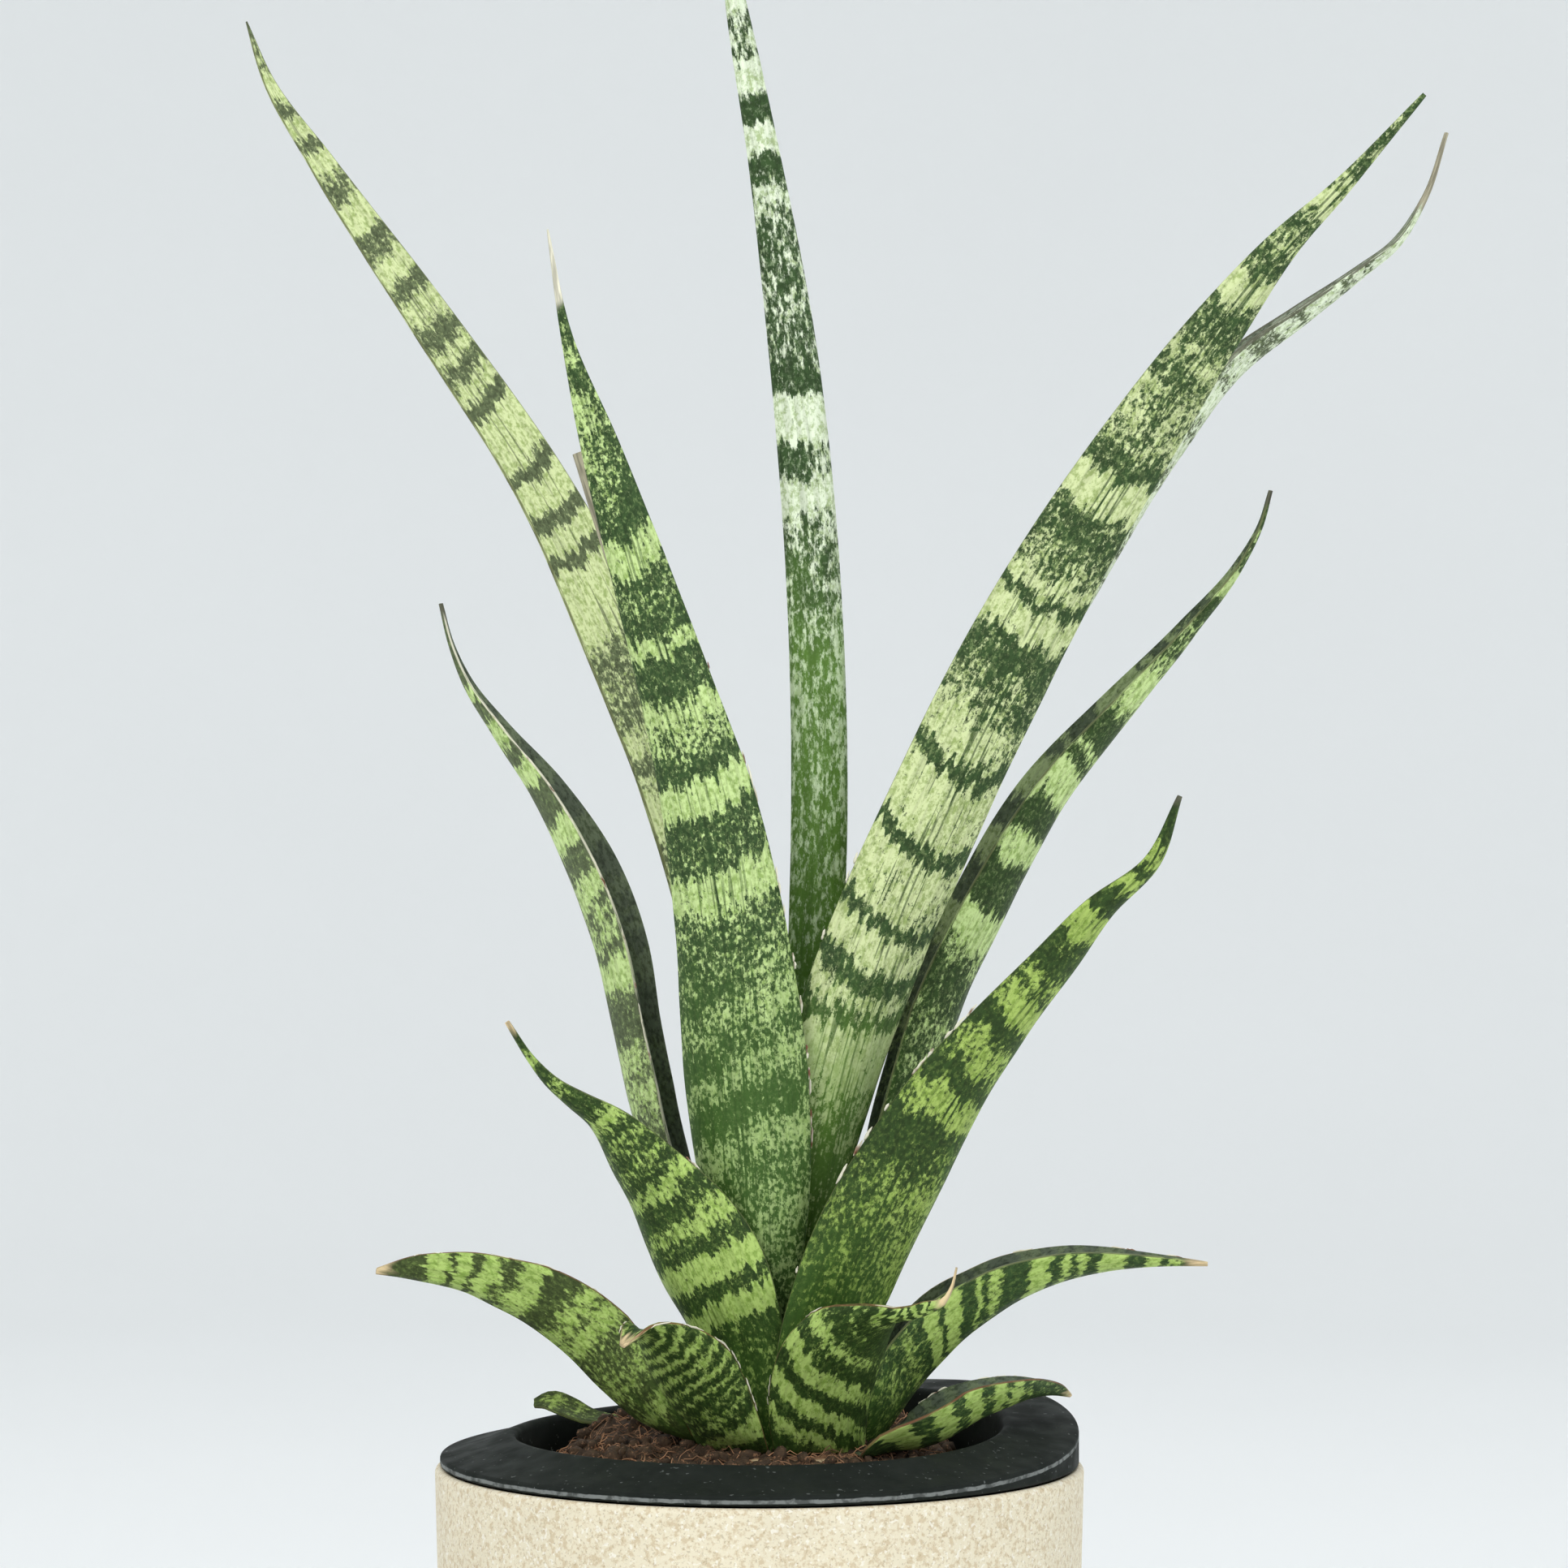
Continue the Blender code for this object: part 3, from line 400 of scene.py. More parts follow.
         21.3, 15, 23.5, 20, 26, 65, 28, 50, 30, 20, 33, 35, 36, 20, 38.4, 70, 39.6, 0, 40.8, 90, 42, 0,
         43.2, 100, 44.3, 0, 45.4, 100, 46.4, 0, 47.4, 100, 48.4, 0, 49.2, 90, 57, 30),
        ((0, -9, 0), (26, -9, 0), (38, -4, 0), (45, 0, 0)),
        # The second patch is a painted shadow under the rolled tip.
        ((10, 0.75, 14, 0.4, -0.2), (31, 0.7, 8, 0.5, -0.35)),
        mottle=0.46, jag=0.6, margins=("margin_brown", "margin_brown"),
    ),
    Leaf(
        "leaf_right_arching", "leaf_dark", 4, 0, 22,
        ((29.8, -1, 14.5, 13.8), (34.8, -2, 20.5, 13.8), (40, -3, 26, 12.8), (45, -4, 30, 11.2),
         (50.5, -5, 33.7, 10), (56.5, -6, 36.5, 8.4), (63, -7, 38.7, 6.7), (69, -8, 40, 4.9),
         (75, -9, 40.7, 3.2), (81.5, -10, 41, 1.8), (89, -11, 41, 0.45)),
        (0, -4, -4), (46, 72, 60), (2.6, 2.6, 0.9), 0.3, (0, 5, 5),
        "pale_yellow", "dark_green", (2, 16), 77.5, 0.1,
        (0, 40, 9, 42, 12, 40, 14.5, 55, 17, 35, 19, 25, 20.3, 80, 22, 75, 23.3, 20, 24.5, 85, 27, 85,
         28.5, 12, 30.5, 20, 31.8, 80, 33.3, 20, 35, 70, 36.8, 60, 38.2, 15, 42, 12, 44, 90, 47, 88,
         48.5, 12, 50, 50, 51.3, 92, 52.8, 30, 54, 50, 55.2, 75, 56.4, 20, 58, 15, 59.3, 88, 63.5, 90,
         65, 12, 67.5, 15, 68.7, 85, 70.8, 85, 72, 20, 73.3, 75, 75.5, 65, 77, 30, 81, 20),
        ((0, -3, 6), (30, -3, 6), (48, -2, 4), (60, -1, 2), (81, 0, 0)),
        ((50, -0.05, 34, 0.35, -0.1), (50, -1, 34, 0.25, -0.05)),
        inner=0.9, mottle=0.4, jag=0.5, margins=("margin_olive", "dry_tan"),
    ),
    Leaf(
        "leaf_right_low", "leaf_dark", 5, -32, 17,
        ((26.5, -17.5, 5.4, 8.8), (31.5, -18, 6.2, 10.8), (37, -16.4, 8.0, 11.0), (42.5, -12.6, 10.6, 10.4),
         (48.5, -7.5, 12.6, 8.6), (54.5, -1.5, 13.8, 6.0), (59, 2.5, 13.8, 3.4), (62.5, 5.5, 13.0, 0.6)),
        (-32, 8, 40), (17, 60, 50), (2.0, 2.0, 0.9), 0.5, (0, -2, 2),
        "pale_yellow", "dark_green", (-10, 6), 51, 0.1,
        (0, 40, 3, 70, 5.5, 40, 7.5, 12, 10, 15, 11.2, 85, 13, 80, 14.3, 12, 16.5, 15, 17.8, 88, 20, 85,
         21.3, 12, 23, 20, 24.2, 85, 26, 70, 27.3, 15, 29, 20, 30.2, 85, 32, 60, 33.3, 15, 34.8, 80,
         36.3, 50, 37.5, 15, 39.5, 40, 42, 15, 50, 20),
        ((0, 2, 0), (50, 2, 0)),
        ((28, -0.05, 40, 0.35, -0.1), (28, -0.6, 40, 0.5, 0.16)),
        inner=0.9, mottle=0.4, jag=0.5, margins=("margin_brown", "margin_olive"),
    ),
    Leaf(
        "leaf_back_left_tiny", "leaf_dark", 5, 140, 9,
        ((-14.5, 14.8, 6.6, 2.2), (-21, 17, 6.0, 1.8), (-30, 20.5, 5.9, 1.7), (-35.5, 23, 6.4, 2.3),
         (-39.5, 25, 8.0, 2.6), (-43.5, 27, 9.2, 2.2), (-46.5, 28, 8.6, 1.0)),
        (140, 150, 150), (9, 30, 30), (1.6, 1.6, 0.9), 1, (0, -8, -58),
        "pale_leaf", "dark_olive", (-10, 6), 60, 0.1,
        (0, 20, 14, 50, 17, 20, 22, 50, 26, 20, 30, 50, 33, 20, 35, 60, 38, 30),
    ),
)


PEEL_SEED = 23
PEEL_STEPS = 6
# Margins with peeling skin: leaf, margin, first and last place, share that peels, and radius of a strip.
PEELS = (
    ("leaf_front_tall", 1, 56, 98, 0.7, 0.36),
    ("leaf_front_tall", 1, 100, 156, 0.35, 0.26),
    ("leaf_front_right_broad", -1, 34, 94, 0.65, 0.34),
    ("leaf_right_tall", -1, 92, 116, 0.6, 0.34),
    ("leaf_left_channelled", 1, 60, 150, 0.4, 0.2),
    ("leaf_front_left_broad", 1, 40, 70, 0.3, 0.22),
    ("leaf_right_arching", 1, 30, 76, 0.5, 0.22),
    ("leaf_right_low", 1, 20, 46, 0.5, 0.24),
    ("leaf_front_left_short", 1, 6, 40, 0.4, 0.22),
    ("leaf_front_left_short", -1, 30, 44, 0.9, 0.14),
    ("leaf_front_right_short", -1, 6, 48, 0.4, 0.12),
    ("leaf_left_arching", 1, 12, 76, 0.3, 0.1),
)


def length_property(name, description, default, low, high):
    """A length of the add-on's, given in millimetres."""
    return bpy.props.FloatProperty(
        name=name, description=description, default=default * MM, min=low * MM, max=high * MM, unit="LENGTH"
    )


def count_property(name, description, default, low, high):
    return bpy.props.IntProperty(name=name, description=description, default=default, min=low, max=high)


def colour_property(name, description, *channels):
    """A colour of the add-on's, given as it shows on a screen, from 0 to 255."""
    return bpy.props.FloatVectorProperty(
        name=name, description=description, default=screen(*channels), subtype="COLOR", size=3, min=0, max=1
    )


class PlantSizes(bpy.types.PropertyGroup):
    """Sizes of the dressed plant that a user may change."""

    station: length_property("Leaf detail", "Distance between two rows of a leaf's mesh", 1.6, 0.5, 10)
    leaf_edge: length_property("Margin thickness", "Thickness of a leaf near its margins", 0.62, 0.1, 2)
    leaf_tip: length_property("Tip half width", "Half the width at which a leaf's tip ends", 0.14, 0.05, 1)
    ripple: length_property("Ripple", "How far the blades wander from a fair curve", 0.16, 0, 1)
    soil_lumps: length_property("Soil lumps", "Height of the lumps in the soil's surface", 1.9, 0, 4)
    turn_steps: count_property("Round detail", "Flats round the pot, the liner and the soil", 144, 32, 256)
    grains: count_property("Soil grains", "Loose grains that lie on the soil", 1500, 0, 4000)
    fibres: count_property("Coir fibres", "Thin fibres that lie on the soil", 560, 0, 2000)


class PlantColours(bpy.types.PropertyGroup):
    """Colours of the dressed plant that a user may change."""

    pale_white: colour_property("Whitish green", "Pale bands of the whitest leaves", 226, 236, 210)
    pale_cream: colour_property("Creamy green", "Pale bands of the two widest tall leaves", 206, 217, 162)
    pale_lime: colour_property("Lime green", "Pale bands of the front and channelled leaves", 196, 218, 148)
    pale_leaf: colour_property("Leaf green", "Pale bands of the broad right leaf", 164, 188, 98)
    pale_yellow: colour_property("Yellow green", "Pale bands of the low and broad leaves", 178, 204, 114)
    dark_grey: colour_property("Grey green", "Dark bands of the tall back leaf", 94, 106, 74)
    dark_green: colour_property("Dark green", "Dark bands of the tall leaves", 56, 82, 42)
    dark_deep: colour_property("Deep green", "Dark bands of the broad leaves", 50, 74, 30)
    dark_olive: colour_property("Olive green", "Dark bands of the low arching leaves", 72, 86, 44)
    base_green: colour_property("Base green", "Saturated green near the foot of a leaf", 70, 106, 38)
    base_bright: colour_property("Bright base green", "Green near the foot of the tall leaves", 108, 150, 58)
    dry_tan: colour_property("Dry tip", "Dried tips and peeling margins", 214, 192, 150)
    tip_grey: colour_property("Dark tip", "Living tips", 92, 92, 76)
    tip_straw: colour_property("Straw tip", "Dried slim tips", 166, 160, 136)
    # Grey of a channelled leaf's inner face: partly the face's own colour, partly painted shade inside the
    # channel.
    inner_face_shade: colour_property("Inner face", "Inner face of a channelled leaf", 92, 102, 86)
    margin_olive: colour_property("Olive margin", "Thin line along a margin", 112, 118, 78)
    margin_brown: colour_property("Brown margin", "Corky line along a margin", 124, 82, 58)
    margin_white: colour_property("Peeling margin", "Peeled skin along a margin", 232, 228, 206)
    pot_cream: colour_property("Pot", "Ground colour of the pot", 236, 226, 200)
    pot_speck: colour_property("Pot specks", "Fine specks in the pot", 186, 158, 112)
    liner_black: colour_property("Liner", "Black plastic of the grow liner", 31, 35, 32)
    # Dust on the liner. It is also the colour of the painted highlight round the collar's edge.
    liner_dust_and_highlight: colour_property("Dust", "Dust on the liner", 126, 130, 128)
    soil_brown: colour_property("Soil", "Ground colour of the soil", 80, 61, 43)
    soil_fibre: colour_property("Coir", "Coir fibres in the soil", 162, 120, 88)
    stage_pale: colour_property("Stage", "Floor and backdrop", 244, 246, 246)


class Paint:
    """One material, built a node at a time.

    A value given to a node is a number, a colour or another node's output.
    """

    def __init__(self, name, roughness=0.5):
        self.material = bpy.data.materials.new(name)
        self.material.use_nodes = True
        self.tree = self.material.node_tree
        self.shader = self.tree.nodes["Principled BSDF"]
        self.shader.inputs["Roughness"].default_value = roughness

    def feed(self, socket, value):
        if isinstance(value, bpy.types.NodeSocket):
            self.tree.links.new(value, socket)
        elif socket.type == "RGBA":
            socket.default_value = (*value, 1.0)
        else:
            socket.default_value = value

    def node(self, kind, **values):
        made = self.tree.nodes.new(kind)
        for key, value in values.items():
            self.feed(made.inputs[key.replace("_", " ")], value)
        return made

    def set(self, name, value):
        self.feed(self.shader.inputs[name], value)

    def done(self, colour, normal=None):
        """The material, with its colour and the bumps of its surface."""
        self.set("Base Color", colour)
        if normal:
            self.set("Normal", normal)
        return self.material

    def object_point(self):
        return self.node("ShaderNodeTexCoord").outputs["Object"]

    def attribute(self, name):
        made = self.node("ShaderNodeAttribute")
        made.attribute_name = name
        return made.outputs["Vector"]

    def split(self, vector):
        return self.node("ShaderNodeSeparateXYZ", Vector=vector).outputs

    def stretch(self, vector, scale, shift=(0, 0, 0)):
        return self.node("ShaderNodeMapping", Vector=vector, Scale=scale, Location=shift).outputs[0]

    def math(self, operation, first, second=0.0, third=0.0):
        made = self.tree.nodes.new("ShaderNodeMath")
        made.operation = operation
        for socket, value in zip(made.inputs, (first, second, third)):
            self.feed(socket, value)
        return made.outputs[0]

    def noise(self, vector, scale=1.0, detail=2.0, roughness=0.5):
        made = self.node("ShaderNodeTexNoise", Vector=vector, Scale=scale, Detail=detail, Roughness=roughness)
        return made.outputs["Fac"]

    def swing(self, vector, reach, **settings):
        """Noise from about -reach to reach."""
        return self.math("MULTIPLY_ADD", self.noise(vector, **settings), 4 * reach, -2 * reach)

    def step(self, value, low, high, start=0.0, end=1.0):
        """A smooth step from start, where the value is at low, to end, where it is at high."""
        made = self.node("ShaderNodeMapRange", Value=value)
        made.interpolation_type = "SMOOTHSTEP"
        for socket, number in zip(list(made.inputs)[1:5], (low, high, start, end)):
            self.feed(socket, number)
        return made.outputs[0]

    def mix(self, share, first, second, blend="MIX"):
        made = self.tree.nodes.new("ShaderNodeMix")
        made.data_type = "RGBA"
        made.blend_type = blend
        for name, value in (("Factor_Float", share), ("A_Color", first), ("B_Color", second)):
            self.feed(next(s for s in made.inputs if s.identifier == name), value)
        return next(s for s in made.outputs if s.identifier == "Result_Color")

    def curve(self, value, points):
        """A line through points, each a place and a height from 0 to 1."""
        made = self.node("ShaderNodeFloatCurve", Value=value)
        line = made.mapping.curves[0]
        for _ in range(len(points) - 2):
            line.points.new(0.5, 0.5)
        for point, (x, y) in zip(line.points, points):
            point.handle_type = "VECTOR"
            point.location = (x, y)
        made.mapping.update()
        return made.outputs[0]

    def bump(self, height, depth, strength=1.0, under=None):
        made = self.node("ShaderNodeBump", Height=height, Distance=depth, Strength=strength)
        if under:
            self.tree.links.new(under, made.inputs["Normal"])
        return made.outputs[0]


def scaled(colour, factor):
    return tuple(factor * channel for channel in colour)


def blended(first, first_part, second, second_part):
    return tuple(first_part * a + second_part * b for a, b in zip(first, second))


def from_rim(height):
    """World height in metres of a height above the rim in millimetres."""
    return (RIM + height) * MM


def mesh_of(name, bm):
    mesh = bpy.data.meshes.new(name)
    bm.to_mesh(mesh)
    bm.free()
    return mesh


def placed(name, data):
    """A new object in the scene with the given data."""
    made = bpy.data.objects.new(name, data)
    bpy.context.scene.collection.objects.link(made)
    return made


def finish_piece(mesh, material, slot, *nodes, angle=40):
    """Makes the piece's object, which rides on the one body and stands for the named CAD nodes."""
    mesh.shade_smooth()
    mesh.set_sharp_from_angle(angle=math.radians(angle))
    mesh.materials.clear()
    mesh.materials.append(material)
    piece = placed(mesh.name, mesh)
    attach(piece, "root")
    if nodes:
        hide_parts(*nodes)


def arc(centre_r, centre_z, radius, start, end, count):
    """Points (r, z) along an arc from start to end degrees."""
    angles = np.radians(np.linspace(start, end, count))
    return [(centre_r + radius * math.cos(a), centre_z + radius * math.sin(a)) for a in angles]


def turned(profile, steps):
    """A bmesh turned round Z from a profile (r, z) in metres. It is closed if both ends are on the axis."""
    bm = bmesh.new()
    points = [bm.verts.new((r, 0, z)) for r, z in profile]
    edges = [bm.edges.new(pair) for pair in zip(points, points[1:])]
    bmesh.ops.spin(
        bm, geom=points + edges, cent=(0, 0, 0), axis=(0, 0, 1), angle=math.tau, steps=steps, use_merge=True
    )
    bmesh.ops.remove_doubles(bm, verts=bm.verts, dist=0.002 * MM)
    bmesh.ops.recalc_face_normals(bm, faces=bm.faces)
    return bm


def pot_finish(colours):
    """Cream stone composite: a mottled ground with tan, brown and white specks, and a fine grain."""
    paint = Paint("cream_stone", 0.62)
    point = paint.object_point()
    ground = paint.mix(paint.noise(point, 90, 3), scaled(colours.pot_cream, 0.86), colours.pot_cream)
    blotch = paint.step(paint.noise(point, 800, 4, 0.65), 0.47, 0.62, 0.0, 0.5)
    colour = paint.mix(blotch, ground, colours.pot_speck)
    grains = paint.step(paint.noise(point, 1900, 2, 0.5), 0.58, 0.68, 0.0, 0.4)
    colour = paint.mix(grains, colour, scaled(colours.pot_speck, 0.62))
    elsewhere = paint.stretch(point, (1, 1, 1), (7, 2, 9))
    flecks = paint.step(paint.noise(elsewhere, 1100, 2, 0.5), 0.58, 0.68, 0.0, 0.6)
    colour = paint.mix(flecks, colour, (0.93, 0.9, 0.82))
    paint.set("Roughness", paint.step(paint.noise(point, 700, 2), 0.3, 0.7, 0.5, 0.75))
    return paint.done(colour, paint.bump(paint.noise(point, 1300, 3, 0.6), 0.12 * MM, 0.5))


def make_pot(sizes, colours):
    lip = POT_WALL / 2
    wall_lean = (POT_RADIUS - POT_FOOT_RADIUS) / RIM
    inner_foot = POT_FOOT_RADIUS + wall_lean * POT_FLOOR - POT_WALL
    corner = inner_foot - POT_INNER_ROUND
    profile = [(0, POT_FLOOR), (corner, POT_FLOOR), (inner_foot, POT_FLOOR + POT_INNER_ROUND)]
    profile += arc(POT_RADIUS - lip, RIM - lip, lip, 180, 0, 11)
    profile += arc(POT_FOOT_RADIUS - POT_EDGE_ROUND, POT_EDGE_ROUND, POT_EDGE_ROUND, 0, -90, 8)
    profile += [(0, 0)]
    bm = turned([(r * MM, z * MM) for r, z in profile], sizes.turn_steps)
    finish_piece(mesh_of("dressed_pot", bm), pot_finish(colours), "pot_stone", "outer_pot")


def collar_lift(azimuth):
    """How far the collar's top stands above its low front edge, in millimetres, at an azimuth."""
    turn = azimuth - math.radians(COLLAR_LIFT_AZIMUTH)
    return COLLAR_LIFT * ((1 + math.cos(turn)) / 2) ** 4


def liner_profile():
    """Points (r, height above the rim, share of the lift) of the liner, outer bottom to inner bottom."""
    seat = CLEAR
    crest_out = COLLAR_CREST_RADIUS + 1.0
    outer_mouth = LINER_MOUTH_RADIUS + LINER_WALL
    edge_top = seat + COLLAR_EDGE
    points = [
        (0, -LINER_DEPTH, 0),
        (LINER_FOOT_RADIUS - 2, -LINER_DEPTH, 0),
        (LINER_FOOT_RADIUS, -LINER_DEPTH + 2, 0),
        (outer_mouth - 0.5, -LINER_NECK, 0),
        (outer_mouth, COLLAR_CREST - 2.6, 0.5),
        (crest_out, COLLAR_CREST - COLLAR_SKIN, 0.5),
        (POT_RADIUS - POT_WALL - 1.2, seat + 0.9, 0.8),
        (POT_RADIUS - POT_WALL - 0.8, seat, 0),
    ]
    points += [(r, z, 0.0) for r, z in arc(COLLAR_RADIUS - 0.5, seat + 0.5, 0.5, -90, 0, 5)]
    points += [(COLLAR_RADIUS, seat + 1.0, 0.35)]
    points += [(r, z, 1.0) for r, z in arc(COLLAR_RADIUS - 0.8, edge_top - 0.8, 0.8, 0, 75, 6)]
    points += [(COLLAR_RADIUS - 4, edge_top + 0.75, 0.95), (COLLAR_RADIUS - 9, edge_top + 2.1, 0.75)]
    points += [
        (r, z, 0.5) for r, z in arc(COLLAR_CREST_RADIUS - 0.4, COLLAR_CREST - 1.4, 1.4, 70, 180, 8)
    ]
    points += [
        (LINER_MOUTH_RADIUS, COLLAR_CREST - 3, 0.5),
        (LINER_MOUTH_RADIUS - 0.5, -LINER_NECK, 0),
        (LINER_FOOT_RADIUS - LINER_WALL, -LINER_DEPTH + 3, 0),
        (LINER_FOOT_RADIUS - LINER_WALL - 1, -LINER_DEPTH + LINER_WALL, 0),
        (0, -LINER_DEPTH + LINER_WALL, 0),
    ]
    return points


def liner_finish(colours):
    """Satin black plastic with dust, fine scratches and a broken light grey band round the collar's edge,
    which is a painted highlight.
    """
    paint = Paint("black_plastic", 0.5)
    paint.set("Specular IOR Level", 0.05)
    point = paint.object_point()
    x, y, z = paint.split(point)
    radius = paint.math("SQRT", paint.math("MULTIPLY_ADD", x, x, paint.math("MULTIPLY", y, y)))
    cloud = paint.step(paint.noise(point, 60, 4, 0.6), 0.35, 0.75, 0.0, 0.03)
    colour = paint.mix(cloud, colours.liner_black, colours.liner_dust_and_highlight)
    specks = paint.step(paint.noise(point, 900, 1), 0.7, 0.76, 0.0, 0.45)
    colour = paint.mix(specks, colour, colours.liner_dust_and_highlight)
    # Painted highlight: a broken light grey band low on the side of the collar's rounded outer edge.
    edge = paint.step(radius, (COLLAR_RADIUS - 0.55) * MM, (COLLAR_RADIUS - 0.1) * MM)
    edge_highlight = paint.math("MULTIPLY", edge, paint.step(paint.noise(point, 420, 3, 0.6), 0.38, 0.55, 0.35, 0.95))
    turn = paint.math("ARCTAN2", y, x)
    lift = paint.math("COSINE", paint.math("SUBTRACT", turn, math.radians(COLLAR_LIFT_AZIMUTH)))
    lift = paint.math("POWER", paint.math("MULTIPLY_ADD", lift, 0.5, 0.5), 4.0)
    height = paint.math("MULTIPLY_ADD", lift, -COLLAR_LIFT * MM, z)
    height = paint.math("ADD", height, paint.swing(point, 0.12 * MM, scale=350, detail=2))
    line = paint.math("MULTIPLY", paint.step(height, from_rim(0.7), from_rim(0.85)),
                      paint.step(height, from_rim(1.6), from_rim(1.4)))
    colour = paint.mix(paint.math("MULTIPLY", edge_highlight, line), colour, colours.liner_dust_and_highlight)
    paint.set("Roughness", paint.step(paint.noise(point, 160, 3), 0.3, 0.7, 0.5, 0.7))
    return paint.done(colour, paint.bump(paint.noise(point, 1400, 2), 0.05 * MM, 0.35))


def make_liner(sizes, colours):
    profile = liner_profile()
    bm = turned([(r * MM, from_rim(z)) for r, z, _ in profile], sizes.turn_steps)
    shares = {(round(r, 2), round(z, 2)): share for r, z, share in profile}
    for vert in bm.verts:
        x, y, z = vert.co
        place = (round(math.hypot(x, y) / MM, 2), round(z / MM - RIM, 2))
        vert.co.z += shares[place] * collar_lift(math.atan2(y, x)) * MM
    mesh = drilled(mesh_of("undrilled_liner", bm))
    mesh.name = "dressed_liner"
    finish_piece(mesh, liner_finish(colours), "liner_plastic", "grow_liner")


def drilled(mesh):
    """The liner's mesh with a ring of round drain holes cut through its floor."""
    bm = bmesh.new()
    for i in range(DRAIN_HOLES):
        turn = math.tau * i / DRAIN_HOLES
        made = bmesh.ops.create_cone(
            bm, cap_ends=True, segments=32, radius1=DRAIN_HOLE_RADIUS * MM, radius2=DRAIN_HOLE_RADIUS * MM,
            depth=DRILL_DEPTH * MM,
        )
        ring = DRAIN_RING_RADIUS * MM
        middle = (math.cos(turn) * ring, math.sin(turn) * ring, from_rim(-LINER_DEPTH))
        bmesh.ops.translate(bm, verts=made["verts"], vec=middle)
    drill = mesh_of("drill", bm)
    whole, cutter = placed("whole_liner", mesh), placed("drill", drill)
    cut = whole.modifiers.new("drain_holes", "BOOLEAN")
    cut.operation = "DIFFERENCE"
    cut.solver = "EXACT"
    cut.object = cutter
    graph = bpy.context.evaluated_depsgraph_get()
    found = bpy.data.meshes.new_from_object(whole.evaluated_get(graph))
    for each in (mesh, drill):
        bpy.data.meshes.remove(each)
    return found


def soil_height(x, y):
    """Height of the soil above the rim. It rises to the back and sinks at the left and the right."""
    side = max(0.0, (abs(x) - SOIL_HOLLOW_START) / (LINER_MOUTH_RADIUS - SOIL_HOLLOW_START))
    return SOIL_TOP + SOIL_BACK_RISE * y / LINER_MOUTH_RADIUS - SOIL_HOLLOW_DEPTH * side**1.3


def soil_surface(x, y, lumps):
    """Height of the dressed soil: heaped round the crown, with lumps."""
    near = math.hypot(x - CROWN_X, y - SOIL_HEAP_Y) / SOIL_HEAP_RADIUS
    places = zip((x, y), SOIL_MOUND_PLACE, SOIL_MOUND_REACH)
    mound = sum(((at - middle) / reach) ** 2 for at, middle, reach in places)
    heap = SOIL_HEAP * math.exp(-(near**4)) + SOIL_MOUND * math.exp(-mound)
    rough = noise.fractal(Vector((x * SOIL_LUMP_RATE, y * SOIL_LUMP_RATE, 3)), 0.8, 2.2, 4)
    return soil_height(x, y) + heap + lumps / MM * rough - SOIL_SETTLED


def soil_finish(colours, name, lift=1.0):
    """Red-brown potting mix with darker and lighter crumbs."""
    paint = Paint(name, 0.9)
    point = paint.object_point()
    brown = scaled(colours.soil_brown, lift)
    tone = paint.step(paint.noise(point, 500, 4, 0.7), 0.35, 0.68)
    colour = paint.mix(tone, scaled(brown, 0.45), brown)
    bits = paint.step(paint.noise(paint.stretch(point, (1, 1, 1), (4, 4, 4)), 1300, 2), 0.6, 0.68, 0.0, 0.8)
    colour = paint.mix(bits, colour, colours.soil_fibre)
    return paint.done(colour, paint.bump(paint.noise(point, 1500, 4, 0.7), 0.5 * MM, 0.8))


def make_soil(sizes, colours):
    wall_foot = LINER_FOOT_RADIUS - LINER_WALL - CLEAR
    floor = -LINER_DEPTH + LINER_WALL + CLEAR
    profile = [(r, SOIL_TOP) for r in np.linspace(0, SOIL_RADIUS, SOIL_RINGS)]
    profile += [(SOIL_RADIUS, -9), (wall_foot, floor + 2.5), (wall_foot - 1.5, floor), (0, floor)]
    bm = turned([(r * MM, from_rim(z)) for r, z in profile], sizes.turn_steps)
    for vert in bm.verts:
        if abs(vert.co.z - from_rim(SOIL_TOP)) < 0.01 * MM:
            vert.co.z = from_rim(soil_surface(vert.co.x / MM, vert.co.y / MM, sizes.soil_lumps))
    mesh = mesh_of("potting_mix", bm)
    finish_piece(mesh, soil_finish(colours, "potting_mix"), "potting_soil", "soil", angle=80)


def scatter_points(count, seed):
    """Places (x, y) in millimetres on the soil, in the liner's mouth."""
    rng = random.Random(seed)
    points = []
    while len(points) < count:
        x, y = rng.uniform(-SCATTER_SPAN, SCATTER_SPAN), rng.uniform(-SCATTER_SPAN, SCATTER_SPAN)
        if math.hypot(x, y) < GRAIN_REACH:
            points.append((x, y))
    return points, rng


def make_grains(sizes, colours):
    """Crumbs of potting mix, each a small lump of its own."""
    points, rng = scatter_points(sizes.grains, GRAIN_SEED)
    noise.seed_set(GRAIN_SEED)
    bm = bmesh.new()
    for x, y in points:
        size = rng.choice(GRAIN_SIZES) * rng.uniform(0.8, 1.2)
        verts = bmesh.ops.create_icosphere(bm, subdivisions=1, radius=size * MM)["verts"]
        flat = (rng.uniform(0.7, 1.4), rng.uniform(0.6, 1.1), rng.uniform(0.5, 0.9))
        bmesh.ops.scale(bm, verts=verts, vec=flat)
        turn = Vector((rng.uniform(-1, 1), rng.uniform(-1, 1), rng.uniform(-1, 1))).to_track_quat("Z", "Y")
        height = from_rim(soil_surface(x, y, sizes.soil_lumps) + 0.15 * size)
        for vert in verts:
            vert.co = turn @ vert.co + Vector((x * MM, y * MM, height))
            vert.co += 0.25 * size * MM * noise.noise_vector(vert.co * 900)
    mesh = mesh_of("soil_crumbs", bm)
    finish_piece(mesh, soil_finish(colours, "soil_crumbs", 1.25), "potting_soil", angle=80)


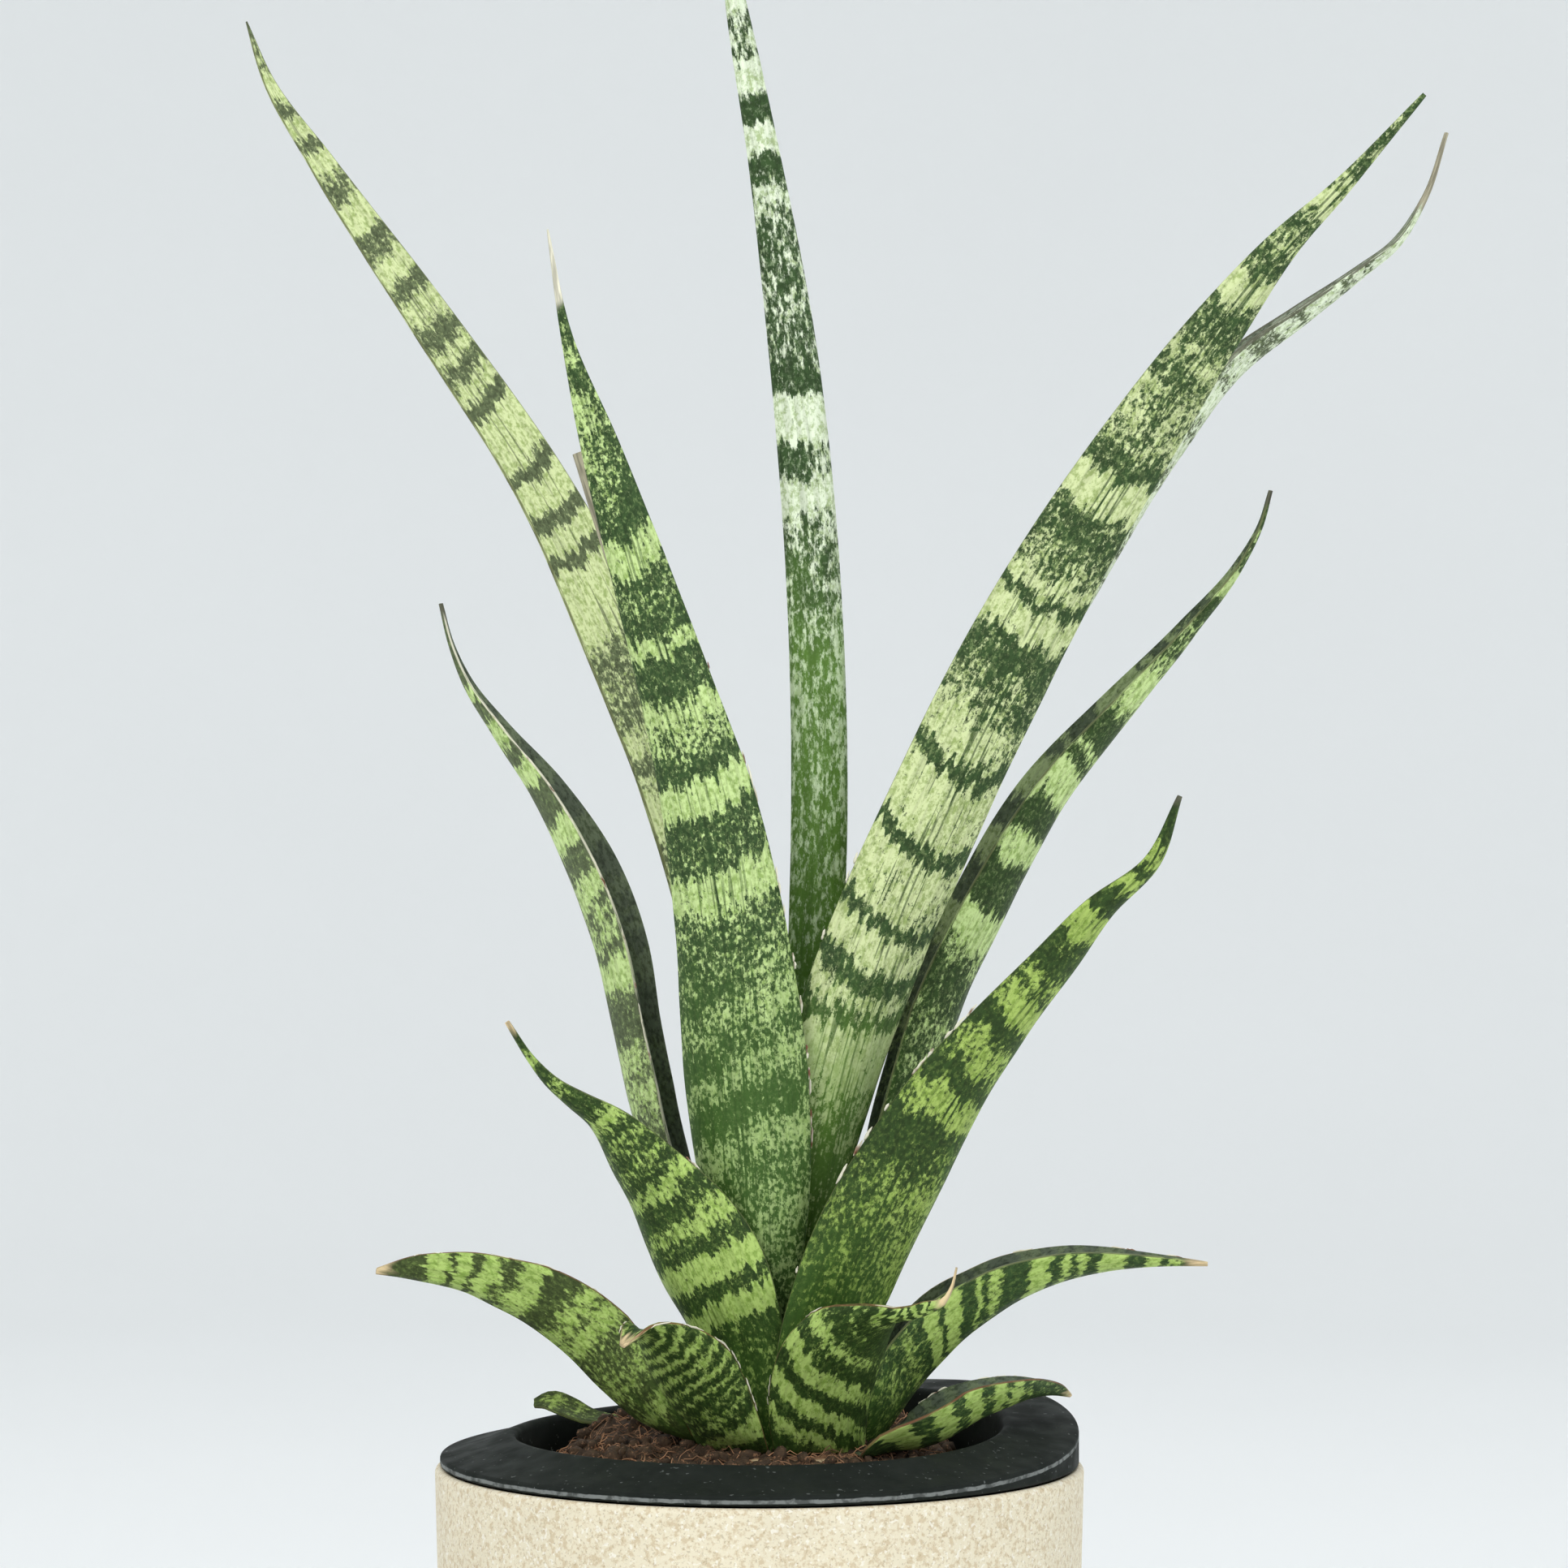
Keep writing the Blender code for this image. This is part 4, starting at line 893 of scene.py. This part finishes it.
def tubes(name, runs):
    """A mesh of thin four-sided tubes. Each run is a list of places, each with a radius, in metres."""
    data = bpy.data.curves.new(name, "CURVE")
    data.dimensions = "3D"
    data.bevel_depth = 1.0
    data.bevel_resolution = 0
    data.use_fill_caps = True
    for run in runs:
        spline = data.splines.new("POLY")
        spline.points.add(len(run) - 1)
        for point, (place, radius) in zip(spline.points, run):
            point.co = (*place, 1)
            point.radius = radius
    holder = bpy.data.objects.new(name, data)
    mesh = bpy.data.meshes.new_from_object(holder)
    bpy.data.objects.remove(holder)
    bpy.data.curves.remove(data)
    bm = bmesh.new()
    bm.from_mesh(mesh)
    bpy.data.meshes.remove(mesh)
    bmesh.ops.remove_doubles(bm, verts=bm.verts, dist=MERGE)
    bmesh.ops.recalc_face_normals(bm, faces=bm.faces)
    return mesh_of(name, bm)


def fibre_finish(colours):
    paint = Paint("coir", 0.8)
    point = paint.object_point()
    tone = paint.step(paint.noise(point, 120, 2), 0.35, 0.65)
    colour = paint.mix(tone, scaled(colours.soil_fibre, 0.4), scaled(colours.soil_fibre, 1.5))
    return paint.done(colour, paint.bump(paint.noise(point, 3000, 2), 0.05 * MM, 0.4))


def make_fibres(sizes, colours):
    """Coir fibres: thin bent threads that lie in and on the soil."""
    points, rng = scatter_points(sizes.fibres, FIBRE_SEED)
    runs = []
    for x, y in points:
        heading = rng.uniform(0, math.tau)
        bend = rng.uniform(-0.35, 0.35)
        radius = rng.choice(FIBRE_RADII) * MM
        lift = rng.uniform(0.1, 1.6)
        run = []
        steps = rng.randint(6, 11)
        for i in range(steps):
            share = i / (steps - 1)
            arch = 4 * share * (1 - share)
            z = soil_surface(x, y, sizes.soil_lumps) + 0.1 + lift * arch
            run.append((Vector((x * MM, y * MM, from_rim(z))), radius * (1 - 0.5 * share)))
            heading += bend + rng.uniform(-0.25, 0.25)
            step = rng.uniform(0.8, 1.6)
            x += step * math.cos(heading)
            y += step * math.sin(heading)
            if math.hypot(x, y) > FIBRE_REACH:
                break
        if len(run) > 2:
            runs.append(run)
    finish_piece(tubes("coir_fibres", runs), fibre_finish(colours), "potting_soil", angle=80)


def crown_finish(colours):
    paint = Paint("crown_skin", 0.75)
    point = paint.object_point()
    rings = paint.math("SINE", paint.math("MULTIPLY", paint.split(point)[2], CROWN_RING_RATE))
    tone = paint.step(paint.math("ADD", rings, paint.swing(point, 1.0, scale=300)), -1.0, 1.0)
    colour = paint.mix(tone, scaled(colours.soil_fibre, 0.6), colours.dry_tan)
    return paint.done(colour, paint.bump(paint.noise(point, 600, 3), 0.4 * MM, 0.6))


def finish_crown(colours):
    """The root crown: the CAD solid keeps its shape, which the soil hides, and gets a ringed, papery skin."""
    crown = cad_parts["root_crown"]
    crown.data.materials.clear()
    crown.data.materials.append(crown_finish(colours))


def through(knots, values, at):
    """Values of a smooth curve that passes through the given values at the given knots."""
    slopes = np.gradient(values, knots, axis=0)
    i = np.clip(np.searchsorted(knots, at) - 1, 0, len(knots) - 2)
    span = (knots[i + 1] - knots[i])[:, None]
    t = (at - knots[i])[:, None] / span
    return (
        (2 * t**3 - 3 * t**2 + 1) * values[i] + (3 * t**2 - 2 * t**3) * values[i + 1]
        + (t**3 - 2 * t**2 + t) * span * slopes[i] + (t**3 - t**2) * span * slopes[i + 1]
    )


def unit(vectors):
    return vectors / np.linalg.norm(vectors, axis=-1, keepdims=True)


class Blade:
    """The shape of one leaf, in millimetres: where each place along it and across it is."""

    def __init__(self, leaf, sizes):
        self.leaf = leaf
        radius = RING_RADIUS[leaf.ring]
        turn = math.radians(leaf.azimuth)
        half_width = radius * math.radians(leaf.wrap) if radius else MIDDLE_BASE_HALF_WIDTH
        base = (CROWN_X + radius * math.cos(turn), radius * math.sin(turn), CROWN_TOP + CLEAR, half_width)
        rows = np.array((base, *leaf.rows), float)
        knots = np.concatenate([[0], np.cumsum(np.linalg.norm(np.diff(rows[:, :3], axis=0), axis=1))])
        self.length = knots[-1]
        count = max(30, round(self.length * MM / sizes.station))
        self.places = self.length * (1 - np.linspace(1, 0, count + 1) ** TIP_CROWDING)
        curve = through(knots, rows, self.places)
        ahead = through(knots, rows, np.minimum(self.places + 0.5, self.length))
        behind = through(knots, rows, np.maximum(self.places - 0.5, 0))
        share = self.places / self.length
        face, self.curl, self.thick, roll = (
            np.interp(share, (0, 0.4, 1), three) for three in (leaf.face, leaf.curl, leaf.thick, leaf.roll)
        )
        self.keel = np.interp(share, (0, 0.2), (1, leaf.keel))
        upright = np.clip(self.places / UPRIGHT_LENGTH, 0, 1)
        upright = (upright * upright * (3 - 2 * upright))[:, None]
        along = unit(ahead[:, :3] - behind[:, :3])
        self.along = unit((1 - upright) * np.array((0, 0, 1.0)) + upright * along)
        face = np.radians(face)
        side = np.stack([-np.sin(face), np.cos(face), 0 * face], axis=1)
        side = unit(side - self.along * np.sum(side * self.along, axis=1, keepdims=True))
        outward = np.cross(side, self.along)
        turn = np.radians(roll)[:, None]
        self.side = side * np.cos(turn) - outward * np.sin(turn)
        self.outward = outward * np.cos(turn) + side * np.sin(turn)
        self.centre = curve[:, :3]
        self.half_width = np.maximum(curve[:, 3], sizes.leaf_tip / MM)
        self.edge = np.minimum(sizes.leaf_edge / MM, 1.2 * self.half_width)
        self.ripple = sizes.ripple / MM

    def row(self, j, shares, sides):
        """Points of cross-section j at shares across, from -1 to 1.

        sides is 1 for each point on the outer face, 0 for one midway and -1 for one on the inner face.
        """
        fine = np.linspace(0, 1, FOLD_STEPS)
        width = self.half_width[j]
        turn = math.radians(self.curl[j]) * fine ** self.keel[j]
        step = width / (FOLD_STEPS - 1)
        middle = (turn[1:] + turn[:-1]) / 2
        aside = np.concatenate([[0], np.cumsum(np.cos(middle) * step)])
        inward = np.concatenate([[0], np.cumsum(np.sin(middle) * step)])
        away = np.abs(shares)
        sign = np.sign(shares)
        aside, inward, turn = (np.interp(away, fine, values) for values in (aside, inward, turn))
        thick = min(self.thick[j], 1.6 * width + 0.2)
        half_thick = (self.edge[j] + (thick - self.edge[j]) * np.sqrt(np.maximum(0, 1 - shares**2))) / 2
        across = self.side[j] * (sign * np.sin(turn))[:, None] + self.outward[j] * np.cos(turn)[:, None]
        points = self.centre[j] + self.side[j] * (sign * aside)[:, None] - self.outward[j] * inward[:, None]
        wander = np.array([
            noise.noise(Vector((self.places[j] * 0.09, u * 1.6, self.leaf.azimuth))) for u in shares
        ])
        reach = self.ripple * min(1.0, width / 4) * min(1.0, self.places[j] / FADE_IN)
        return points + across * (sides * half_thick + wander * reach)[:, None]

    def point(self, place, share, side=0.0, out=0.0):
        """The point at a place along and a share across, out from that face, in metres in the world."""
        j = int(np.clip(np.searchsorted(self.places, place), 1, len(self.places) - 1))
        t = (place - self.places[j - 1]) / (self.places[j] - self.places[j - 1])
        shares, sides = np.array([share]), np.array([side])
        found = (1 - t) * self.row(j - 1, shares, sides)[0] + t * self.row(j, shares, sides)[0]
        found = found + self.outward[j] * out
        return Vector((found[0] * MM, found[1] * MM, from_rim(found[2])))


def skin_noise(paint, blade, wide, long, shift=(0, 0, 0), detail=2, roughness=0.5):
    """Noise with so many turns per millimetre across and along the leaf."""
    return paint.noise(paint.stretch(blade, (wide, long, 1), shift), 1, detail, roughness)


def leaf_bands(paint, leaf, length, blade, across, place, shift, share):
    """How much pale skin shows: jagged dark bands, a mottle, and thin dark lines along the leaf."""
    for wide, long, reach in ((0.16, 0.03, 1.4), (0.8, 0.06, 1.7), (1.8, 0.25, 0.9)):
        wander = paint.swing(paint.stretch(blade, (wide, long, 1)), reach * leaf.jag, detail=1)
        place = paint.math("ADD", place, wander)
    bands = [(x / length, y / 100) for x, y in zip(leaf.bands[::2], leaf.bands[1::2])]
    level = paint.math("ADD", paint.curve(paint.math("DIVIDE", place, length), bands), shift)
    mottle = paint.swing(paint.stretch(blade, (1.3, leaf.grain, 1)), leaf.mottle, detail=4, roughness=0.7)
    level = paint.math("ADD", level, mottle)
    level = paint.math("ADD", level, paint.swing(paint.stretch(blade, (0.32, 0.2, 1), (5, 5, 5)), 0.15))
    lines = paint.step(skin_noise(paint, blade, 1.7, 0.05, (4, 4, 4), 1), 0.57, 0.64)
    middle = paint.step(paint.math("ABSOLUTE", paint.math("ADD", share, 0.05)), 0.85, 0.25, 0.0, leaf.dashes)
    cover = paint.math("SUBTRACT", paint.step(level, 0.34, 0.68), paint.math("MULTIPLY", lines, middle))
    off = paint.math("ADD", across, paint.swing(paint.stretch(blade, (0, 0.05, 1)), 0.35))
    off = paint.math("ABSOLUTE", paint.math("SUBTRACT", paint.math("ABSOLUTE", off), SPINE_LINE))
    broken = paint.step(skin_noise(paint, blade, 0.3, 0.1, (9, 2, 1)), 0.4, 0.52, 0.0, leaf.spine)
    return paint.math("SUBTRACT", cover, paint.math("MULTIPLY", paint.step(off, 0.3, 0.1), broken))


def leaf_finish(leaf, length, colours):
    """Banded leaf skin: dark jagged bands over pale green, mottled, greener towards the foot."""
    paint = Paint(f"{leaf.name}_skin", 0.5)
    paint.set("Specular IOR Level", 0.2)
    seed = leaf.azimuth * 0.37 + leaf.ring * 5
    blade = paint.stretch(paint.attribute("blade"), (1, 1, 3), (seed, seed * 3, seed))
    across, along, inner = paint.split(paint.attribute("blade"))
    place, shift, share = paint.split(paint.attribute("bands"))
    pale, dark, green = (getattr(colours, name) for name in (leaf.pale, leaf.dark, leaf.foot))
    cover = leaf_bands(paint, leaf, length, blade, across, place, shift, share)

    tone = paint.step(skin_noise(paint, blade, 1.1, 0.62, (1, 5, 1), 4, 0.7), 0.36, 0.57)
    streak = paint.step(skin_noise(paint, blade, 1.3, 0.07, (6, 2, 3)), 0.34, 0.62, 0.82, 1.06)
    shaded = tuple(c * s for c, s in zip(pale, (0.56, 0.64, 0.42)))
    pale_tone = paint.mix(tone, shaded, scaled(pale, 1.08))
    drift = paint.swing(paint.stretch(blade, (0.14, 0.05, 1)), 0.2 + 0.5 * abs(leaf.green_side))
    side = paint.math("MULTIPLY_ADD", share, leaf.green_side, drift)
    dark_tone = paint.mix(paint.step(side, 0.2, 0.9), dark, blended(green, 0.75, dark, 0.1))
    flecks = paint.step(skin_noise(paint, blade, 1.5, 1.0, (2, 7, 1), 3, 0.65), 0.49, 0.64, 0.0, 0.5)
    dark_tone = paint.mix(flecks, dark_tone, blended(pale, 0.36, green, 0.45))
    shade = paint.step(skin_noise(paint, blade, 1.1, 0.7, (8, 3, 2), 3, 0.65), 0.42, 0.6, 0.0, 0.62)
    dark_tone = paint.mix(shade, dark_tone, scaled(dark, 0.42))

    ragged = paint.math("ADD", along, paint.swing(paint.stretch(blade, (0.4, 0.08, 1)), 9))
    low = paint.math("MULTIPLY", paint.step(ragged, leaf.low[1], leaf.low[0]), 0.6)
    pale_tone = paint.mix(low, pale_tone, blended(green, 0.8, pale, 0.36))
    dark_tone = paint.mix(low, dark_tone, scaled(green, 0.95))
    colour = paint.mix(cover, dark_tone, pale_tone)
    colour = paint.mix(1.0, colour, paint.mix(streak, (0, 0, 0), (1, 1, 1)), "MULTIPLY")

    # The inner face turns this grey: partly its own colour, partly painted shade inside the channel.
    inner_shade = paint.mix(tone, scaled(colours.inner_face_shade, 0.4), colours.inner_face_shade)
    colour = paint.mix(paint.math("MULTIPLY", inner, leaf.inner), colour, inner_shade)
    for name, sign in zip(leaf.margins, (-1, 1)):
        rim = paint.step(paint.math("MULTIPLY", share, sign), leaf.edge, leaf.edge + 0.011, 0.0, 0.9)
        broken = paint.step(skin_noise(paint, blade, 0.1, 0.14, (sign, 2, 5)), 0.34, 0.48)
        colour = paint.mix(paint.math("MULTIPLY", rim, broken), colour, getattr(colours, name))
    ragged = paint.math("ADD", along, paint.swing(paint.stretch(blade, (0.9, 0.2, 1)), 1.5))
    end = getattr(colours, leaf.tip)
    streaks = paint.step(skin_noise(paint, blade, 1.8, 0.15), 0.35, 0.65)
    dry = paint.mix(streaks, scaled(end, 0.6), scaled(end, 1.15))
    colour = paint.mix(paint.step(ragged, leaf.dry - 1.5, leaf.dry + 1.5), colour, dry)
    paint.set("Roughness", paint.step(cover, 0, 1, 0.58, 0.48))
    grooves = paint.bump(skin_noise(paint, blade, 1.6, 0.06), 0.12 * MM, 0.5)
    return paint.done(colour, paint.bump(tone, 0.05 * MM, 0.4, grooves))


def lean_of(leaf, places):
    """How far a band at each place rises to the right margin, and to both margins."""
    rows = np.array(leaf.lean, float)
    return np.interp(places, rows[:, 0], rows[:, 1]), np.interp(places, rows[:, 0], rows[:, 2])


def make_leaf(leaf, sizes, colours):
    """One leaf: a sheet wrapped round the blade and closed, with its pattern's places kept on its points."""
    blade = Blade(leaf, sizes)
    shares = MARGIN_SHARE * np.sin(np.linspace(-math.pi / 2, math.pi / 2, FACE_COLUMNS))
    ring_shares = np.concatenate([shares, [1], shares[::-1], [-1], shares[:1]])
    ring_sides = np.concatenate([np.ones(FACE_COLUMNS), [0], -np.ones(FACE_COLUMNS), [0], [1]])
    inner = (1 - ring_sides) / 2
    rights, boths = lean_of(leaf, blade.places)
    columns = len(ring_shares) - 1
    stations = len(blade.places) - 1

    bm = bmesh.new()
    bmesh.ops.create_grid(bm, x_segments=columns, y_segments=stations, size=1)
    at_blade = bm.verts.layers.float_vector.new("blade")
    at_bands = bm.verts.layers.float_vector.new("bands")
    rows = [blade.row(j, ring_shares, ring_sides) for j in range(stations + 1)]
    for vert in bm.verts:
        i = round((vert.co.x + 1) / 2 * columns)
        j = round((vert.co.y + 1) / 2 * stations)
        u, place = ring_shares[i], blade.places[j]
        shift = 0.0
        for patch_place, patch_share, reach, spread, more in leaf.patches:
            off = ((place - patch_place) / reach) ** 2 + ((u - patch_share) / spread) ** 2
            shift += more * math.exp(-off)
        x, y, z = rows[j][i]
        vert[at_blade] = (u * blade.half_width[j], place, inner[i])
        vert[at_bands] = (place - rights[j] * u - boths[j] * abs(u) ** 1.3, shift, u)
        vert.co = (x * MM, y * MM, from_rim(z))
    bmesh.ops.remove_doubles(bm, verts=bm.verts, dist=MERGE)
    ends = bmesh.ops.holes_fill(bm, edges=[e for e in bm.edges if e.is_boundary], sides=0)
    bmesh.ops.poke(bm, faces=ends["faces"])
    bmesh.ops.recalc_face_normals(bm, faces=bm.faces)
    mesh = mesh_of(f"{leaf.name}_dressed", bm)
    finish_piece(mesh, leaf_finish(leaf, blade.length, colours), leaf.slot, leaf.name, angle=60)


def make_leaves(rings):
    scene = bpy.context.scene
    for leaf in LEAVES:
        if leaf.ring in rings:
            make_leaf(leaf, scene.plant_sizes, scene.plant_colours)


def peel_finish(colours):
    """Dried skin that peels off the margins: papery, from cream to brown."""
    paint = Paint("peeling_skin", 0.75)
    point = paint.object_point()
    tone = paint.step(paint.noise(point, 260, 2), 0.34, 0.48)
    colour = paint.mix(tone, colours.margin_brown, colours.margin_white)
    return paint.done(colour, paint.bump(paint.noise(point, 2500, 2), 0.05 * MM, 0.4))


def make_peels(sizes, colours):
    """Short strips of dried skin that stand off the margins named in PEELS."""
    rng = random.Random(PEEL_SEED)
    leaves = {leaf.name: leaf for leaf in LEAVES}
    runs = []
    for name, margin, start, end, share, widest in PEELS:
        blade = Blade(leaves[name], sizes)
        place = start
        while place < end:
            length = rng.uniform(1.2, 4.5)
            if rng.random() < share:
                stand_off = rng.uniform(0.1, 0.4)
                run = []
                for i in range(PEEL_STEPS):
                    t = i / (PEEL_STEPS - 1)
                    at = min(place + length * t, blade.length)
                    spot = blade.point(at, margin, 0.0, rng.uniform(-0.12, 0.12))
                    j = int(np.clip(np.searchsorted(blade.places, at), 0, len(blade.places) - 1))
                    away = blade.side[j] * margin * (stand_off * t + 0.16)
                    radius = widest * math.sin(math.pi * (0.12 + 0.8 * t)) * rng.uniform(0.6, 1.2)
                    run.append((spot + Vector(away) * MM, radius * MM))
                runs.append(run)
            place += length
    finish_piece(tubes("peeling_skin", runs), peel_finish(colours), "leaf_pale", angle=80)


def stage_finish(colours):
    paint = Paint("studio_paper", 0.9)
    point = paint.object_point()
    tone = paint.noise(point, 3, 2)
    return paint.done(paint.mix(tone, scaled(colours.stage_pale, 0.97), colours.stage_pale))


def make_stage(colours):
    """A round floor that curves up into a backdrop all round."""
    profile = [(0, 0), (0.5, 0), (STAGE_RADIUS - STAGE_CORNER, 0)]
    profile += arc(STAGE_RADIUS - STAGE_CORNER, STAGE_CORNER, STAGE_CORNER, -80, 0, 9)
    profile += [(STAGE_RADIUS, STAGE_HEIGHT)]
    bm = turned(profile, STAGE_STEPS)
    bmesh.ops.reverse_faces(bm, faces=bm.faces)
    mesh = mesh_of("studio", bm)
    mesh.shade_smooth()
    mesh.materials.append(stage_finish(colours))
    placed("studio", mesh)


def make_lights():
    for name, place, size, power, colour in LIGHTS:
        light = bpy.data.lights.new(name, "AREA")
        light.shape = "DISK"
        light.size = size
        light.energy = power
        light.color = colour
        holder = placed(name, light)
        holder.location = place
        aim = Vector(LIGHT_AIM) - Vector(place)
        holder.rotation_euler = aim.to_track_quat("-Z", "Y").to_euler()
    world = bpy.data.worlds.new("studio_air")
    world.use_nodes = True
    air = world.node_tree.nodes["Background"]
    air.inputs["Color"].default_value = AIR_COLOUR
    air.inputs["Strength"].default_value = AIR_STRENGTH
    bpy.context.scene.world = world


def make_camera():
    data = bpy.data.cameras.new("camera")
    data.sensor_width = CAMERA_SENSOR
    data.lens = CAMERA_LENS
    camera = placed("camera", data)
    camera.location = CAMERA_PLACE
    camera.rotation_euler = (math.pi / 2, 0, 0)
    bpy.context.scene.camera = camera
    bpy.context.scene.view_settings.view_transform = "Standard"


class MakePot(bpy.types.Operator):
    """Make the cream pot"""

    bl_idname = "snake_plant.make_pot"
    bl_label = "Pot"

    def execute(self, context):
        make_pot(context.scene.plant_sizes, context.scene.plant_colours)
        return {"FINISHED"}


class MakeLiner(bpy.types.Operator):
    """Make the black grow liner"""

    bl_idname = "snake_plant.make_liner"
    bl_label = "Grow liner"

    def execute(self, context):
        make_liner(context.scene.plant_sizes, context.scene.plant_colours)
        return {"FINISHED"}


class MakeSoil(bpy.types.Operator):
    """Make the soil with its crumbs and fibres, and finish the root crown in it"""

    bl_idname = "snake_plant.make_soil"
    bl_label = "Soil"

    def execute(self, context):
        sizes, colours = context.scene.plant_sizes, context.scene.plant_colours
        make_soil(sizes, colours)
        make_grains(sizes, colours)
        make_fibres(sizes, colours)
        finish_crown(colours)
        return {"FINISHED"}


class MakeTallLeaves(bpy.types.Operator):
    """Make the tall inner leaves"""

    bl_idname = "snake_plant.make_tall_leaves"
    bl_label = "Tall leaves"

    def execute(self, context):
        make_leaves((0, 1, 2))
        return {"FINISHED"}


class MakeMiddleLeaves(bpy.types.Operator):
    """Make the four leaves of half height"""

    bl_idname = "snake_plant.make_middle_leaves"
    bl_label = "Middle leaves"

    def execute(self, context):
        make_leaves((3,))
        return {"FINISHED"}


class MakeLowLeaves(bpy.types.Operator):
    """Make the short and arching leaves round the foot"""

    bl_idname = "snake_plant.make_low_leaves"
    bl_label = "Low leaves"

    def execute(self, context):
        make_leaves((4, 5))
        return {"FINISHED"}


class MakePeels(bpy.types.Operator):
    """Make the dried skin that peels off some margins"""

    bl_idname = "snake_plant.make_peels"
    bl_label = "Peeling margins"

    def execute(self, context):
        make_peels(context.scene.plant_sizes, context.scene.plant_colours)
        return {"FINISHED"}


class MakeStage(bpy.types.Operator):
    """Make the studio, its lights and the camera"""

    bl_idname = "snake_plant.make_stage"
    bl_label = "Stage"

    def execute(self, context):
        make_stage(context.scene.plant_colours)
        make_lights()
        make_camera()
        return {"FINISHED"}


OPERATORS = (
    MakePot, MakeLiner, MakeSoil, MakeTallLeaves, MakeMiddleLeaves, MakeLowLeaves, MakePeels, MakeStage
)


class SnakePlantPanel(bpy.types.Panel):
    """Sizes, colours and a button for each group of pieces"""

    bl_idname = "VIEW3D_PT_snake_plant"
    bl_label = "Snake plant"
    bl_space_type = "VIEW_3D"
    bl_region_type = "UI"
    bl_category = "Snake plant"

    def draw(self, context):
        for group in (context.scene.plant_sizes, context.scene.plant_colours):
            box = self.layout.box()
            for name in group.__annotations__:
                box.prop(group, name)
        for operator in OPERATORS:
            self.layout.operator(operator.bl_idname)


CLASSES = (PlantSizes, PlantColours, *OPERATORS, SnakePlantPanel)


def register():
    for each in CLASSES:
        bpy.utils.register_class(each)
    bpy.types.Scene.plant_sizes = bpy.props.PointerProperty(type=PlantSizes)
    bpy.types.Scene.plant_colours = bpy.props.PointerProperty(type=PlantColours)


def unregister():
    del bpy.types.Scene.plant_colours
    del bpy.types.Scene.plant_sizes
    for each in reversed(CLASSES):
        bpy.utils.unregister_class(each)


def main():
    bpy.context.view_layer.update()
    register()
    bpy.ops.snake_plant.make_stage()
    bpy.ops.snake_plant.make_pot()
    bpy.ops.snake_plant.make_liner()
    bpy.ops.snake_plant.make_soil()
    bpy.ops.snake_plant.make_tall_leaves()
    bpy.ops.snake_plant.make_middle_leaves()
    bpy.ops.snake_plant.make_low_leaves()
    bpy.ops.snake_plant.make_peels()


if __name__ == "__main__":
    main()
